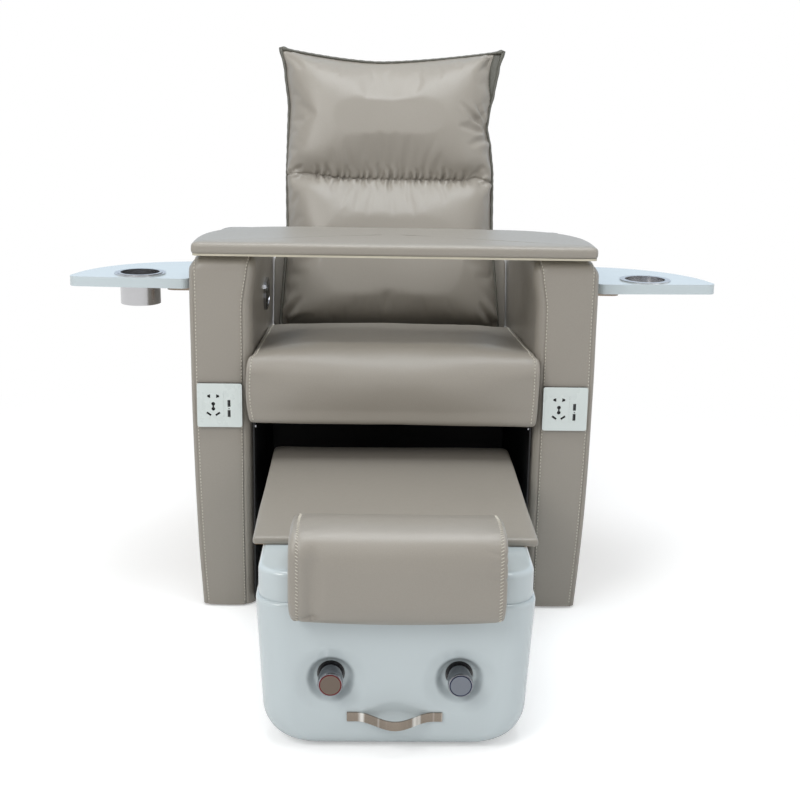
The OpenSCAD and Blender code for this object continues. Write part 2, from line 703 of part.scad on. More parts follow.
// Each step holds its share of the cushion's length and its share of the full thickness
back_steps = concat(
  [[0, 0.45], [0.006, 0.7], [0.02, 0.88], [0.05, 1], [0.12, 1], [0.2, 1], [0.28, 1], [0.36, 1], [0.43, 1]],
  [for (u = [0.48, 0.51, 0.533, 0.556, 0.59, 0.64, 0.71, 0.78, 0.85, 0.91]) [u, 1]],
  [[0.95, 0.95], [0.98, 0.8], [0.993, 0.6], [1, 0.4]]
);
module back_cushion() color(leather) leaning() skin(
  [for (i = [len(back_steps) - 1:-1:0]) back_ring(back_s0 + cushion_len * back_steps[i][0], back_steps[i][1])]
);

// Lap board on the arms

corner_power = 6;
back_power = 3;
board_flat = 10;
// Half outline: a straight front, sides that round into a bowed rear edge
function board_half(inset) = [for (i = [0:13]) let (a = 90 * i / 13) [
  (board_w - inset) * pow(cos(a) + 0.0001, 2 / corner_power),
  (board_back - inset) * pow(sin(a), 2 / back_power)
]];
function board_outline(inset) = let (
  half = board_half(inset),
  y0 = -board_over + inset,
  r = board_flat - inset / 2
) concat(
  arc([board_w - inset - r, y0 + r], r, -90, 0, 4),
  half,
  [for (i = [12:-1:0]) [-half[i][0], half[i][1]]],
  arc([-board_w + inset + r, y0 + r], r, 180, 270, 4)
);
module board_base() color([0.86, 0.84, 0.78]) placed()
  plan(board_z, board_z + bead_t) polygon(board_outline(2));
// Each row of the pad holds its inset and its height above the base
board_rows = [
  [4, 0], [1, 1.2], [0, 4], [0, board_t - 7], [1.5, board_t - 3.5], [4.5, board_t - 1.2], [9, board_t]
];
module board_pad() color(leather) placed() skin([for (r = board_rows)
  [for (p = board_outline(r[0])) [p[0], p[1], board_z + bead_t + r[1]]]]);

// Side trays

tray_w = tray_out - tray_in;
outer_r = 16;
sweep = 13;
tray_outline = concat(
  arc([tray_in + tray_r, tray_front + tray_r], tray_r, 180, 264, 6),
  arc([tray_out - outer_r, tray_front + sweep + outer_r], outer_r, 274, 368, 8),
  [for (i = [0:14]) let (a = 12 + 78 * i / 14)
    [tray_in + tray_w * cos(a), tray_front + 3 + (tray_d - 3) * sin(a)]]
);
pin_top = tray_low + 12;
module tray_bracket() color(steel) placed() {
  plan(tray_low - slack - bracket_t, tray_low - slack) {
    translate([arm_out, pivot_y - 16]) square([pivot_x - arm_out, 32]);
    translate([pivot_x, pivot_y]) circle(r = 16, $fn = 48);
  }
  block([arm_out, pivot_y - 16, tray_low - 40], [arm_out + 3, pivot_y + 16, tray_low - slack]);
  rod_z(tray_low - slack - 1, pin_top, pivot_x, pivot_y, hinge_r - run);
}
// A flat tray with a blind hole for its pin and a hole or a dish from a height upwards
module tray(hole_low) color(gloss_white) placed() difference() {
  plan(tray_low, tray_top) polygon(tray_outline);
  rod_z(tray_low - 1, pin_top + slack, pivot_x, pivot_y, hinge_r);
  rod_z(hole_low, tray_top + 1, ring_x, ring_y, cup_hole + slack);
}
ring_wall = 2;
ring_lip = 2;
cup_hole = cup_r + slack + ring_wall;
dish_floor = 6;
module right_tray() tray(tray_low + dish_floor);
module left_tray() mirror([1, 0, 0]) tray(tray_low - 1);
module right_tray_bracket() tray_bracket();
module left_tray_bracket() mirror([1, 0, 0]) tray_bracket();
// The left ring goes right through its tray and the right one lines a shallow dish
module ring(low, floored) color(steel) placed() difference() {
  union() {
    rod_z(tray_top, tray_top + ring_lip, ring_x, ring_y, ring_r);
    rod_z(low, tray_top + 1, ring_x, ring_y, cup_hole);
  }
  rod_z(floored ? low + 1.5 : low - 1, tray_top + ring_lip + 1, ring_x, ring_y, cup_r + slack);
}
module left_tray_ring() mirror([1, 0, 0]) ring(tray_low, false);
module right_tray_ring() ring(tray_low + dish_floor, true);
cup_rim = 5;
module cup() color([0.7, 0.7, 0.69]) mirror([1, 0, 0]) placed() difference() {
  union() {
    rod_z(tray_top - cup_depth, tray_top + ring_lip + 1, ring_x, ring_y, cup_r);
    rod_z(tray_top + ring_lip, tray_top + ring_lip + 1.2, ring_x, ring_y, cup_r + cup_rim);
  }
  rod_z(tray_top - cup_depth + cup_wall, tray_top + ring_lip + 2, ring_x, ring_y, cup_r - cup_wall);
}

// Foot basin: a moulded casing, and over it the deck and tub in one moulding

low_centre = basin_w_low - basin_low_r;
low_top = basin_gap + basin_low_r;
shoulder_r = 6;
front_low_r = 20;
pipe_z = base_z + base_t + 26;
// Half section seen from the front, drawn in by the wall for the inside
function casing_half(t) = concat(
  arc([low_centre, low_top], basin_low_r - t, -90, 0, 10),
  t == 0 ? arc([basin_w - shoulder_r, shoulder_z - shoulder_r], shoulder_r, 0, 90, 4)
    : [[basin_w - t, shoulder_z - shoulder_r], [basin_w - t, shoulder_z + 9]]
);
function mirrored(half) = concat(half, [for (i = [len(half) - 1:-1:0]) [-half[i][0], half[i][1]]]);
module casing_form(t) intersection() {
  front(-basin_front, basin_rear) polygon(mirrored(casing_half(t)));
  side(-basin_w, basin_w) polygon(box_points(-basin_front + t, basin_gap + t, basin_rear - t,
    shoulder_z + (t > 0 ? 9 : 0), [front_low_r - t, front_low_r - t, 0, 0]));
  plan(0, shoulder_z + 10) polygon(box_points(-basin_w + t, -basin_front + t, basin_w - t, basin_rear - t,
    [basin_r - t, basin_r - t, 24 - t, 24 - t]));
}
collar_r = 24;
pocket_floor_r = collar_r - 3 + pocket_drop + 1;
// A round dish sunk into the front, grown by the wall for the boss behind it
module pocket(x, g) translate([x, -basin_front, tap_z - pocket_drop]) rotate([-90, 0, 0]) rotate_extrude($fn = 48)
  polygon(concat([[0, g > 0 ? 1 : -1], [pocket_r + g, g > 0 ? 1 : -1]],
    [for (i = [0:6]) let (a = 15 * i)
      [pocket_floor_r + (pocket_r - pocket_floor_r + g) * cos(a), (pocket_d + g) * sin(a)]],
    [[0, pocket_d + g]]));
bonnet_r = 13;
nut_r = 10.4;
drain_pipe_r = 16;
pipe_r = 7;
post_boss_r = 9;
base_half = low_centre + sqrt(pow(basin_low_r - wall, 2) - pow(low_top - base_z, 2)) - 5;
module casing_bosses() both_sides() for (y = [-basin_front + 55, basin_rear - 50])
  rod_z(base_z + base_t, deck_z - wall, base_half + 3, y, post_boss_r);
module basin_casing() color(gloss_white) placed() difference() {
  union() {
    difference() {
      casing_form(0);
      casing_form(wall);
    }
    intersection() {
      casing_form(0);
      both_sides() pocket(tap_x, wall);
    }
    casing_bosses();
  }
  both_sides() pocket(tap_x, 0);
  both_sides() rod_y(-basin_front, -basin_front + pocket_d + wall + 1, tap_x, tap_z, bonnet_r + run);
  both_sides() rod_y(basin_rear - wall - 1, basin_rear + 1, tap_x, pipe_z, pipe_r + slack);
  rod_y(basin_rear - wall - 1, basin_rear + 1, 0, pipe_z, drain_pipe_r - 1 + slack);
  // The floor is open over the wheels
  plan(basin_gap - 1, basin_gap + wall + 1)
    polygon(box_points(-low_centre + 5, -basin_front + 34, low_centre - 5, basin_rear - 34, [20, 20, 20, 20]));
}
deck_edge_r = 9;
tub_plan_r = 50;
tub_wall = 4;
module deck_form(t) intersection() {
  front(-basin_front, basin_rear) polygon(box_points(-basin_w + deck_in + t, shoulder_z - (t > 0 ? 1 : 0),
    basin_w - deck_in - t, deck_z - t, [0, 0, deck_edge_r - t, deck_edge_r - t]));
  side(-basin_w, basin_w) polygon(box_points(-basin_front + deck_in + t, shoulder_z - (t > 0 ? 1 : 0),
    basin_rear - deck_in - t, deck_z - t, [0, 0, deck_edge_r - t, deck_edge_r - t]));
  plan(shoulder_z - 1, deck_z + 1) polygon(box_points(-basin_w + deck_in + t, -basin_front + deck_in + t,
    basin_w - deck_in - t, basin_rear - deck_in - t, [basin_r - t, basin_r - t, 22 - t, 22 - t]));
}
module tub_form(g, top) intersection() {
  front(-tub_front - g, tub_rear + g) polygon(box_points(-tub_w - g, tub_floor - g, tub_w + g, top,
    [tub_r + g, tub_r + g, 0, 0]));
  side(-tub_w - g, tub_w + g) polygon(box_points(-tub_front - g, tub_floor - g, tub_rear + g, top,
    [tub_r + g, tub_r + g, 0, 0]));
  plan(tub_floor - g, top) polygon(box_points(-tub_w - g, -tub_front - g, tub_w + g, tub_rear + g,
    [for (i = [0:3]) tub_plan_r + g]));
}
drain_y = tub_rear - 110;
drain_r = 20;
spout_z = deck_z - 38;
spout_r = 9;
socket_wall = 4;
socket_r = post_r + run + socket_wall;
module basin_tub() color(gloss_white) placed() difference() {
  union() {
    difference() {
      deck_form(0);
      deck_form(wall);
    }
    tub_form(tub_wall, deck_z - 1);
  }
  tub_form(0, deck_z + 1);
  rod_z(deck_z - wall - 1, deck_z + 1, 0, -post_y, socket_r + slack);
  rod_z(tub_floor - tub_wall - 1, tub_floor + 1, 0, drain_y, drain_r + slack);
  rod_y(-tub_front - tub_wall - 1, -tub_front + 1, 0, spout_z, spout_r);
}
fork_x = 120;
fork_y = [-basin_front + 62, basin_rear - 62];
base_corners = [42, 42, 22, 22];
module basin_base() color([0.3, 0.3, 0.31]) placed() plan(base_z, base_z + base_t)
  polygon(box_points(-base_half, -basin_front + wall + slack, base_half, basin_rear - wall - slack,
    base_corners));
axle_r = 3;
module wheel_forks() color(steel) placed() both_sides() for (y = fork_y) {
  block([fork_x - 14, y - 18, base_z - 4], [fork_x + 14, y + 18, base_z]);
  for (x = [fork_x - wheel_w / 2 - 4, fork_x + wheel_w / 2 + 1]) side(x, x + 3) {
    polygon([[y - 14, base_z - 3], [y - 7, wheel_r - 4], [y + 7, wheel_r - 4], [y + 14, base_z - 3]]);
    translate([y, wheel_r]) circle(r = 8, $fn = 32);
  }
  rod_x(fork_x - wheel_w / 2 - 5, fork_x + wheel_w / 2 + 5, y, wheel_r, axle_r - run);
}
// Half profile of a wheel from its hub to its tread, as radius and distance from the middle
wheel_half = [
  [axle_r, wheel_w / 2], [8, wheel_w / 2], [9, wheel_w / 2 - 2], [wheel_r - 4, wheel_w / 2 - 2],
  [wheel_r - 3, wheel_w / 2], [wheel_r - 1.5, wheel_w / 2], [wheel_r, wheel_w / 2 - 1.5]
];
module wheel(k, y) color([0.2, 0.2, 0.2]) placed() translate([k * fork_x, y, wheel_r]) rotate([0, 90, 0])
  rotate_extrude($fn = 64) polygon(concat(
    [for (p = wheel_half) [p[0], -p[1]]],
    [for (i = [len(wheel_half) - 1:-1:0]) wheel_half[i]]
  ));
module front_left_wheel() wheel(-1, fork_y[0]);
module front_right_wheel() wheel(1, fork_y[0]);
module rear_left_wheel() wheel(-1, fork_y[1]);
module rear_right_wheel() wheel(1, fork_y[1]);

// Water fittings

tail = 25;
tail_flange = 2;
drain_flange = 2.5;
drain_bore = 17;
module drain() color(steel) placed() difference() {
  union() {
    rod_z(tub_floor, tub_floor + drain_flange, 0, drain_y, drain_r + 8);
    rod_z(pipe_z, tub_floor + 1, 0, drain_y, drain_r);
    translate([0, drain_y, pipe_z]) sphere(r = drain_pipe_r - 1, $fn = 48);
    rod_y(drain_y, basin_rear + 1, 0, pipe_z, drain_pipe_r - 1);
    rod_y(basin_rear, basin_rear + tail_flange, 0, pipe_z, drain_pipe_r + 6);
    rod_y(basin_rear + tail_flange - 1, basin_rear + tail, 0, pipe_z, drain_pipe_r);
  }
  rod_z(pipe_z, tub_floor + drain_flange + 1, 0, drain_y, drain_bore - 4.5);
  rod_z(tub_floor - 5, tub_floor + drain_flange + 1, 0, drain_y, drain_bore);
  rod_y(drain_y, basin_rear + tail + 1, 0, pipe_z, drain_pipe_r - 3);
}
module drain_plug() color(black) placed() {
  rod_z(tub_floor - 4, tub_floor + drain_flange, 0, drain_y, drain_bore - slack);
  rod_z(tub_floor + drain_flange, tub_floor + drain_flange + 3, 0, drain_y, drain_r + 2);
  rod_z(tub_floor + drain_flange + 2, tub_floor + drain_flange + 12, 0, drain_y, 4);
  translate([0, drain_y, tub_floor + drain_flange + 14]) sphere(r = 6, $fn = 32);
}
pocket_y = -basin_front + pocket_d;
valve_y = pocket_y + wall;
valve_l = 34;
stem_r = 8;
collar_t = 4;
module valves() color(steel) placed() both_sides() difference() {
  union() {
    rod_y(valve_y, valve_y + valve_l, tap_x, tap_z, bonnet_r + 5);
    rod_y(pocket_y - 1, valve_y + 1, tap_x, tap_z, bonnet_r);
    rod_y(pocket_y - collar_t, pocket_y, tap_x, tap_z, collar_r - 3);
    rod_y(pocket_y - 1.5, pocket_y, tap_x, tap_z, collar_r - 2);
    rod_z(tap_z - 30, tap_z, tap_x, valve_y + valve_l / 2, 8);
    rod_y(valve_y + valve_l - 1, valve_y + valve_l + 10, tap_x, tap_z, 8);
  }
  rod_y(pocket_y - collar_t - 1, valve_y + valve_l / 2, tap_x, tap_z, stem_r + run);
}
mix_y = -tub_front - tub_wall - 36;
// Fittings stand a little proud of the pipes that they join
module elbow(x, y, z, r) translate([x, y, z]) sphere(r = r + 2, $fn = 32);
module water_pipes() color([0.72, 0.45, 0.32]) placed() {
  both_sides() {
    // Supply from the rear to the tap
    rod_y(basin_rear, basin_rear + tail_flange, tap_x, pipe_z, nut_r + 5);
    rod_y(basin_rear + tail_flange - 1, basin_rear + tail, tap_x, pipe_z, nut_r);
    rod_y(valve_y + valve_l / 2, basin_rear + 1, tap_x, pipe_z, pipe_r);
    elbow(tap_x, valve_y + valve_l / 2, pipe_z, pipe_r);
    rod_z(pipe_z, tap_z - 30, tap_x, valve_y + valve_l / 2, pipe_r);
    // From the tap to the pipe behind the spout
    rod_y(valve_y + valve_l + 10, mix_y, tap_x, tap_z, pipe_r - 1);
    elbow(tap_x, mix_y, tap_z, pipe_r - 1);
  }
  rod_x(-tap_x, tap_x, mix_y, tap_z, pipe_r - 1);
  elbow(0, mix_y, tap_z, pipe_r - 1);
  rod_z(tap_z, spout_z, 0, mix_y, pipe_r - 1);
  elbow(0, mix_y, spout_z, pipe_r - 1);
  rod_y(mix_y, -tub_front - tub_wall - 4, 0, spout_z, pipe_r - 1);
}
spout_reach = 34;
module spout() color(steel) placed() difference() {
  union() {
    rod_y(-tub_front - tub_wall - 4, -tub_front + spout_reach, 0, spout_z, spout_r - slack);
    rod_y(-tub_front, -tub_front + 3, 0, spout_z, spout_r + 8);
    rod_y(-tub_front + spout_reach - 6, -tub_front + spout_reach, 0, spout_z, spout_r + 2);
  }
  rod_y(-tub_front, -tub_front + spout_reach + 1, 0, spout_z, spout_r - 3);
}
knob_y = -basin_front - knob_reach;
knob_back = pocket_y - collar_t - 2;
stem_end = -valve_y - valve_l / 2 + 2;
module knob(x) color([0.7, 0.7, 0.72]) placed() translate([x, 0, tap_z]) rotate([90, 0, 0])
  rotate_extrude($fn = 64) polygon([[0, stem_end], [stem_r, stem_end], [stem_r, -knob_back],
    [knob_r - 3, -knob_back], [knob_r - 1.5, -knob_back + 2], [knob_r - 1.5, -knob_y - 22], [knob_r, -knob_y - 20],
    [knob_r, -knob_y - 3], [knob_r - 1, -knob_y - 0.8], [knob_r - 3, -knob_y], [0, -knob_y]]);
module hot_knob() knob(-tap_x);
module cold_knob() knob(tap_x);
pull_tab = 14;
bow_half = pull_len / 2 - pull_tab;
function bow(x) = pull_bow * (0.5 + 0.5 * cos(180 * x / bow_half));
pull_line = concat(
  [[-pull_len / 2, 0]],
  [for (i = [-12:12]) let (x = bow_half * i / 12) [x, -bow(x)]],
  [[pull_len / 2, 0]]
);
module pull() color(steel) placed() translate([0, -basin_front, 0])
  plan(pull_z - pull_h / 2, pull_z + pull_h / 2) polygon(concat(
    [for (i = [len(pull_line) - 1:-1:0]) pull_line[i]],
    [for (p = pull_line) [p[0], p[1] - pull_t]]
  ));

// Lid on the tub

cleat = 12;
cleat_h = 8;
module lid_core(low) block([-lid_w + cover_t, -lid_front + cover_t, low],
  [lid_w - cover_t, lid_rear - cover_t, deck_z + lid_t - cover_t]);
module lid_board() color([0.72, 0.58, 0.4]) placed() {
  lid_core(deck_z);
  // Cleats that keep the lid over the tub
  both_sides() block([tub_w - 4 - cleat, -tub_front + tub_plan_r, deck_z - cleat_h],
    [tub_w - 4, tub_rear - tub_plan_r, deck_z + 1]);
}
lid_r = 5;
module lid_cover() color(leather) placed() difference() {
  intersection() {
    front(-lid_front, lid_rear)
      polygon(box_points(-lid_w, deck_z, lid_w, deck_z + lid_t, [2, 2, lid_r, lid_r]));
    side(-lid_w, lid_w)
      polygon(box_points(-lid_front, deck_z, lid_rear, deck_z + lid_t, [2, 2, lid_r, lid_r]));
    plan(deck_z, deck_z + lid_t) polygon(box_points(-lid_w, -lid_front, lid_w, lid_rear, [9, 9, 9, 9]));
  }
  lid_core(deck_z - 1);
}

// Footrest on its post

socket_flange = 2.5;
socket_low = tap_z + 27;
rest_z = deck_z + socket_flange;
rest_t = 3;
module footrest_socket() color(steel) placed() difference() {
  union() {
    rod_z(socket_low, rest_z, 0, -post_y, socket_r);
    rod_z(deck_z, rest_z, 0, -post_y, socket_r + 9);
  }
  rod_z(socket_low - 1, rest_z + 1, 0, -post_y, post_r + run);
}
module footrest_bracket() color(black) placed() {
  rod_z(rest_z - 128, rest_z + 1, 0, -post_y, post_r);
  plan(rest_z, rest_z + rest_t) polygon(box_points(-120, -post_y - 40, 120, -post_y + 36, [12, 12, 12, 12]));
}
pad_gap = 4;
pad_under = rest_z + rest_t + slack;
pad_inner = -basin_front - pad_gap;
pad_rear_z = pad_top - 12;
front_top_r = 42;
// Side outline: a front limb over the basin's edge and a top limb over its deck
pad_outline = concat(
  arc([-pad_front + 23, pad_low + 18], 18, 180, 270, 5),
  arc([pad_inner - 14, pad_low + 14], 14, 270, 360, 5),
  [[pad_inner, pad_under - 9], [pad_inner + 3, pad_under - 3], [pad_inner + 9, pad_under]],
  [[(pad_inner - pad_rear) / 2, pad_under]],
  arc([-pad_rear - 16, pad_under + 16], 16, 270, 360, 5),
  arc([-pad_rear - 22, pad_rear_z - 22], 22, 0, 78, 5),
  [for (i = [1:4]) let (t = i / 5) [-pad_rear - 24 - (pad_front - pad_rear - 66) * t,
    pad_rear_z + (pad_top - pad_rear_z) * t + 5 * sin(180 * t)]],
  arc([-pad_front + front_top_r + 1, pad_top - front_top_r], front_top_r, 90, 172, 7),
  [[-pad_front, (pad_low + pad_top) / 2 + 6], [-pad_front + 1.6, pad_low + 42]]
);
pad_middle = [-pad_front + 26, pad_top - 48];
pad_ends = [[0, 0.84], [1.2, 0.92], [4, 0.965], [9, 0.99], [16, 1], [40, 1], [80, 1], [125, 1]];
function pad_ring(x, k) = [for (p = pad_outline) let (q = pad_middle + (p - pad_middle) * k) [x, q[0], q[1]]];
module footrest_pad() color(leather) placed() skin(concat(
  [for (e = pad_ends) pad_ring(-pad_w + e[0], e[1])],
  [for (i = [len(pad_ends) - 1:-1:0]) pad_ring(pad_w - pad_ends[i][0], pad_ends[i][1])]
));

left_arm();
right_arm();
left_arm_panel();
right_arm_panel();
arm_glides();
base_frame();
seat_board();
seat_cushion();
bay_sides();
bay_ceiling();
bay_back();
bay_screws();
left_outlet_plate();
right_outlet_plate();
left_outlet_insert();
right_outlet_insert();
usb_ports();
switch_bezel();
switch_face();
recline_button();
upright_button();
rear_panel();
mains_inlet();
control_box();
hinge_pins();
actuator_housing();
actuator_rod();
backrest_frame();
backrest_shell();
back_cushion();
board_base();
board_pad();
left_tray_bracket();
right_tray_bracket();
left_tray();
right_tray();
left_tray_ring();
right_tray_ring();
cup();
basin_casing();
basin_tub();
basin_base();
wheel_forks();
front_left_wheel();
front_right_wheel();
rear_left_wheel();
rear_right_wheel();
drain();
drain_plug();
valves();
water_pipes();
spout();
hot_knob();
cold_knob();
pull();
lid_board();
lid_cover();
footrest_socket();
footrest_bracket();
footrest_pad();
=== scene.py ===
# Pedicure chair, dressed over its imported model. Sizes are metres in the model's own frame: the
# chair faces -Y and +Z is up.
import math

import bmesh
import bpy
import numpy as np
from mathutils import Matrix, Vector


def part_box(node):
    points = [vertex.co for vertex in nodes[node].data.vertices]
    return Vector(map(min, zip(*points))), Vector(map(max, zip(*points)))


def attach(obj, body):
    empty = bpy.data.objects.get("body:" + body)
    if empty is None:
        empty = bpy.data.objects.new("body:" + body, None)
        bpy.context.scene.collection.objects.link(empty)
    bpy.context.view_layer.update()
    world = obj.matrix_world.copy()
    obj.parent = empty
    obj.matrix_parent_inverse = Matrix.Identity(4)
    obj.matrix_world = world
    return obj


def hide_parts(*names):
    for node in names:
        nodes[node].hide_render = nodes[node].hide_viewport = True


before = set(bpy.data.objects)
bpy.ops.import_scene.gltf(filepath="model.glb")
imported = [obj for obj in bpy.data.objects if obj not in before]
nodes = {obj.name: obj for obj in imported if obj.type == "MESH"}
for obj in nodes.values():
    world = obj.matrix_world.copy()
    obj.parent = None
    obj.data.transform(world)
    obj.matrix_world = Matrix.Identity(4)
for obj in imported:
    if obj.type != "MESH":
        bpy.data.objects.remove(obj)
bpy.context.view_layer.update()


# Studio
# A pale floor that runs out of sight under plain soft light. The camera stands where the
# photographer stood: a little left of the middle, at chest height, looking slightly down.
frame_px = 800
focal_px = 1350.8
arm_front_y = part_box("right_arm")[0].y
camera_place = Vector((-0.0492, arm_front_y - 2.5192, 1.0818))
camera_pitch = math.radians(14.39)
camera_yaw = math.radians(1.43)
camera_roll = math.radians(-1.01)


def srgb(red, green, blue):
    """A colour written as on a screen, turned into the renderer's own values."""
    def linear(v):
        v /= 255.0
        return v / 12.92 if v <= 0.04045 else ((v + 0.055) / 1.055) ** 2.4
    return (linear(red), linear(green), linear(blue), 1.0)


def put(tree, socket, value):
    """Sets a shader socket, or wires it to another socket or to a node's first output."""
    if isinstance(value, bpy.types.Node):
        value = value.outputs[0]
    if isinstance(value, bpy.types.NodeSocket):
        tree.links.new(value, socket)
    else:
        socket.default_value = value


def node(tree, kind, sockets=None, **settings):
    """One shader node with its settings, and its inputs set or wired."""
    made = tree.nodes.new("ShaderNode" + kind)
    for key, value in settings.items():
        setattr(made, key, value)
    for key, value in (sockets or {}).items():
        put(tree, made.inputs[key], value)
    return made


def maths(tree, operation, *values):
    """One step of a shader's arithmetic."""
    return node(tree, "Math", dict(enumerate(values)), operation=operation)


def noise(tree, place, scale, detail, roughness=0.5):
    """Soft noise in a shader, with so many swells to the metre."""
    return node(tree, "TexNoise", {"Vector": place, "Scale": scale, "Detail": detail,
                                   "Roughness": roughness})


camera_data = bpy.data.cameras.new("camera")
camera_data.sensor_width = 36.0
camera_data.lens = focal_px / frame_px * camera_data.sensor_width
camera_data.clip_end = 100.0
camera = bpy.data.objects.new("camera", camera_data)
ahead = Vector((
    math.sin(camera_yaw) * math.cos(camera_pitch),
    math.cos(camera_yaw) * math.cos(camera_pitch),
    -math.sin(camera_pitch),
))
level_right = Vector((math.cos(camera_yaw), -math.sin(camera_yaw), 0.0))
level_down = ahead.cross(level_right)
right = math.cos(camera_roll) * level_right + math.sin(camera_roll) * level_down
down = math.cos(camera_roll) * level_down - math.sin(camera_roll) * level_right
camera_turn = Matrix((right, -down, -ahead)).transposed()
camera.matrix_world = Matrix.Translation(camera_place) @ camera_turn.to_4x4()
bpy.context.scene.collection.objects.link(camera)
bpy.context.scene.camera = camera
bpy.context.scene.view_settings.view_transform = "Standard"

world = bpy.data.worlds.new("studio_sky")
bpy.context.scene.world = world
world.use_nodes = True
sky = world.node_tree
sky.nodes.clear()
rays = node(sky, "LightPath")
seen_straight = maths(sky, "MAXIMUM", rays.outputs["Is Camera Ray"], rays.outputs["Is Transmission Ray"])
# Metal and gloss see the white backdrop and, behind the camera, a dim room with tall windows
sky_place = node(sky, "TexCoord")
sky_axes = node(sky, "SeparateXYZ", {"Vector": sky_place.outputs["Generated"]})
room_tone = node(sky, "MapRange", {"Value": sky_axes.outputs["Y"], "From Min": -0.55, "From Max": 0.05,
                                   "To Min": 0.2, "To Max": 1.0})
bearing = maths(sky, "MULTIPLY_ADD", sky_axes.outputs["X"], 17.0, 1.1)
window_wave = maths(sky, "COSINE", bearing)
window_glow = node(sky, "MapRange", {"Value": window_wave, "From Min": 0.82, "From Max": 0.94,
                                     "To Min": 0.0, "To Max": 0.85})
window_height = node(sky, "MapRange", {"Value": sky_axes.outputs["Z"], "From Min": -0.12, "From Max": 0.02})
window_light = maths(sky, "MULTIPLY", window_glow, window_height)
room_light = maths(sky, "MAXIMUM", room_tone, window_light)
gloss_level = maths(sky, "MULTIPLY", rays.outputs["Is Glossy Ray"], room_light)
shown = maths(sky, "MAXIMUM", seen_straight, gloss_level)
ambient = maths(sky, "MAXIMUM", shown, 0.52)
# The wall behind the chair looks cool in the tops of leather, trays and basin
cool_share = node(sky, "MapRange", {"Value": sky_axes.outputs["Y"], "From Min": 0.1, "From Max": 0.7})
cool_gloss = maths(sky, "MULTIPLY", rays.outputs["Is Glossy Ray"], cool_share)
sky_tint = node(sky, "MixRGB", {"Fac": cool_gloss, "Color1": (1.0, 1.0, 1.0, 1.0),
                                "Color2": srgb(219, 233, 247)})
backdrop = node(sky, "Background", {"Color": sky_tint, "Strength": ambient})
node(sky, "OutputWorld", {"Surface": backdrop})

floor_mesh = bpy.data.meshes.new("floor")
floor_reach = 14.0
floor_corners = ((-1, -1), (1, -1), (1, 1), (-1, 1))
floor_mesh.from_pydata([(x * floor_reach, y * floor_reach, 0.0) for x, y in floor_corners], [],
                       [(0, 1, 2, 3)])
floor = bpy.data.objects.new("floor", floor_mesh)
bpy.context.scene.collection.objects.link(floor)
floor_finish = bpy.data.materials.new("pale_floor")
floor_finish.use_nodes = True
floor_tree = floor_finish.node_tree
floor_tree.nodes.clear()
floor_rays = node(floor_tree, "LightPath")
floor_seen = maths(floor_tree, "MAXIMUM", floor_rays.outputs["Is Camera Ray"],
                   floor_rays.outputs["Is Transmission Ray"])
floor_shown = maths(floor_tree, "MAXIMUM", floor_seen, floor_rays.outputs["Is Glossy Ray"])
floor_paint = node(floor_tree, "BsdfDiffuse", {"Color": (0.86, 0.86, 0.86, 1.0)})
floor_lift = maths(floor_tree, "MULTIPLY", floor_seen, 0.34)
floor_glow = node(floor_tree, "Emission", {"Color": (1.0, 1.0, 1.0, 1.0), "Strength": floor_lift})
floor_near = node(floor_tree, "AddShader", {0: floor_paint, 1: floor_glow})
# Away from the chair the floor is as white as the backdrop behind it
floor_place = node(floor_tree, "TexCoord")
floor_distance = node(floor_tree, "VectorMath", {0: floor_place.outputs["Object"]}, operation="LENGTH")
floor_share = node(floor_tree, "MapRange",
                   {"Value": floor_distance.outputs["Value"], "From Min": 0.75, "From Max": 2.0},
                   interpolation_type="SMOOTHSTEP")
floor_white = maths(floor_tree, "MULTIPLY", floor_share, floor_shown)
floor_far = node(floor_tree, "Emission", {"Color": (1.0, 1.0, 1.0, 1.0), "Strength": 1.0})
floor_mix = node(floor_tree, "MixShader", {0: floor_white, 1: floor_near, 2: floor_far})
node(floor_tree, "OutputMaterial", {"Surface": floor_mix})
floor_mesh.materials.append(floor_finish)


def softbox(name, place, target, size, power, colour):
    """A square lamp behind diffusing cloth, turned towards a point."""
    lamp = bpy.data.lights.new(name, "AREA")
    lamp.shape = "SQUARE"
    lamp.size = size
    lamp.energy = power
    lamp.color = colour
    stand = bpy.data.objects.new(name, lamp)
    stand.location = place
    stand.rotation_euler = (Vector(target) - Vector(place)).to_track_quat("-Z", "Y").to_euler()
    bpy.context.scene.collection.objects.link(stand)


softbox("key_softbox", (-1.9, -2.6, 2.7), (0.0, -0.1, 0.5), 1.6, 47.0, (1.0, 0.99, 0.97))
softbox("fill_softbox", (2.6, -2.2, 1.7), (0.0, 0.0, 0.5), 1.8, 11.0, (0.96, 0.98, 1.0))
softbox("top_softbox", (0.1, -0.4, 3.2), (0.0, 0.0, 0.5), 1.8, 46.0, (0.93, 0.97, 1.0))


# Arms
# Two upholstered boxes of board and foam under taupe leather. A strip runs up the front of each
# and over its top between two seams, which are sewn down with a pale top stitch beside them.
arm_low, arm_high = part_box("right_arm")
arm_roll = 0.008
arm_out = arm_high.x
arm_in = arm_low.x + arm_roll
arm_foot = arm_low.z
arm_top = arm_high.z - 0.0018
arm_depth = arm_high.y - arm_low.y
arm_draw, arm_draw_top = 0.014, 0.540
arm_set_back, arm_set_top = 0.016, 0.330
roll_low, roll_high = 0.612, 0.688
arm_level_to, arm_curve_to, arm_fall, arm_rear_fall = 0.385, 0.605, 0.064, 0.0702
front_top_r, rear_top_r = 0.030, 0.045
rear_top_angle = 62.0
arm_core_y, arm_core_z = 0.330, 0.450
leather_taupe = srgb(152, 145, 135)
thread_pale = srgb(226, 222, 210)
stitch_pitch, stitch_length, stitch_r = 0.0066, 0.0040, 0.00095


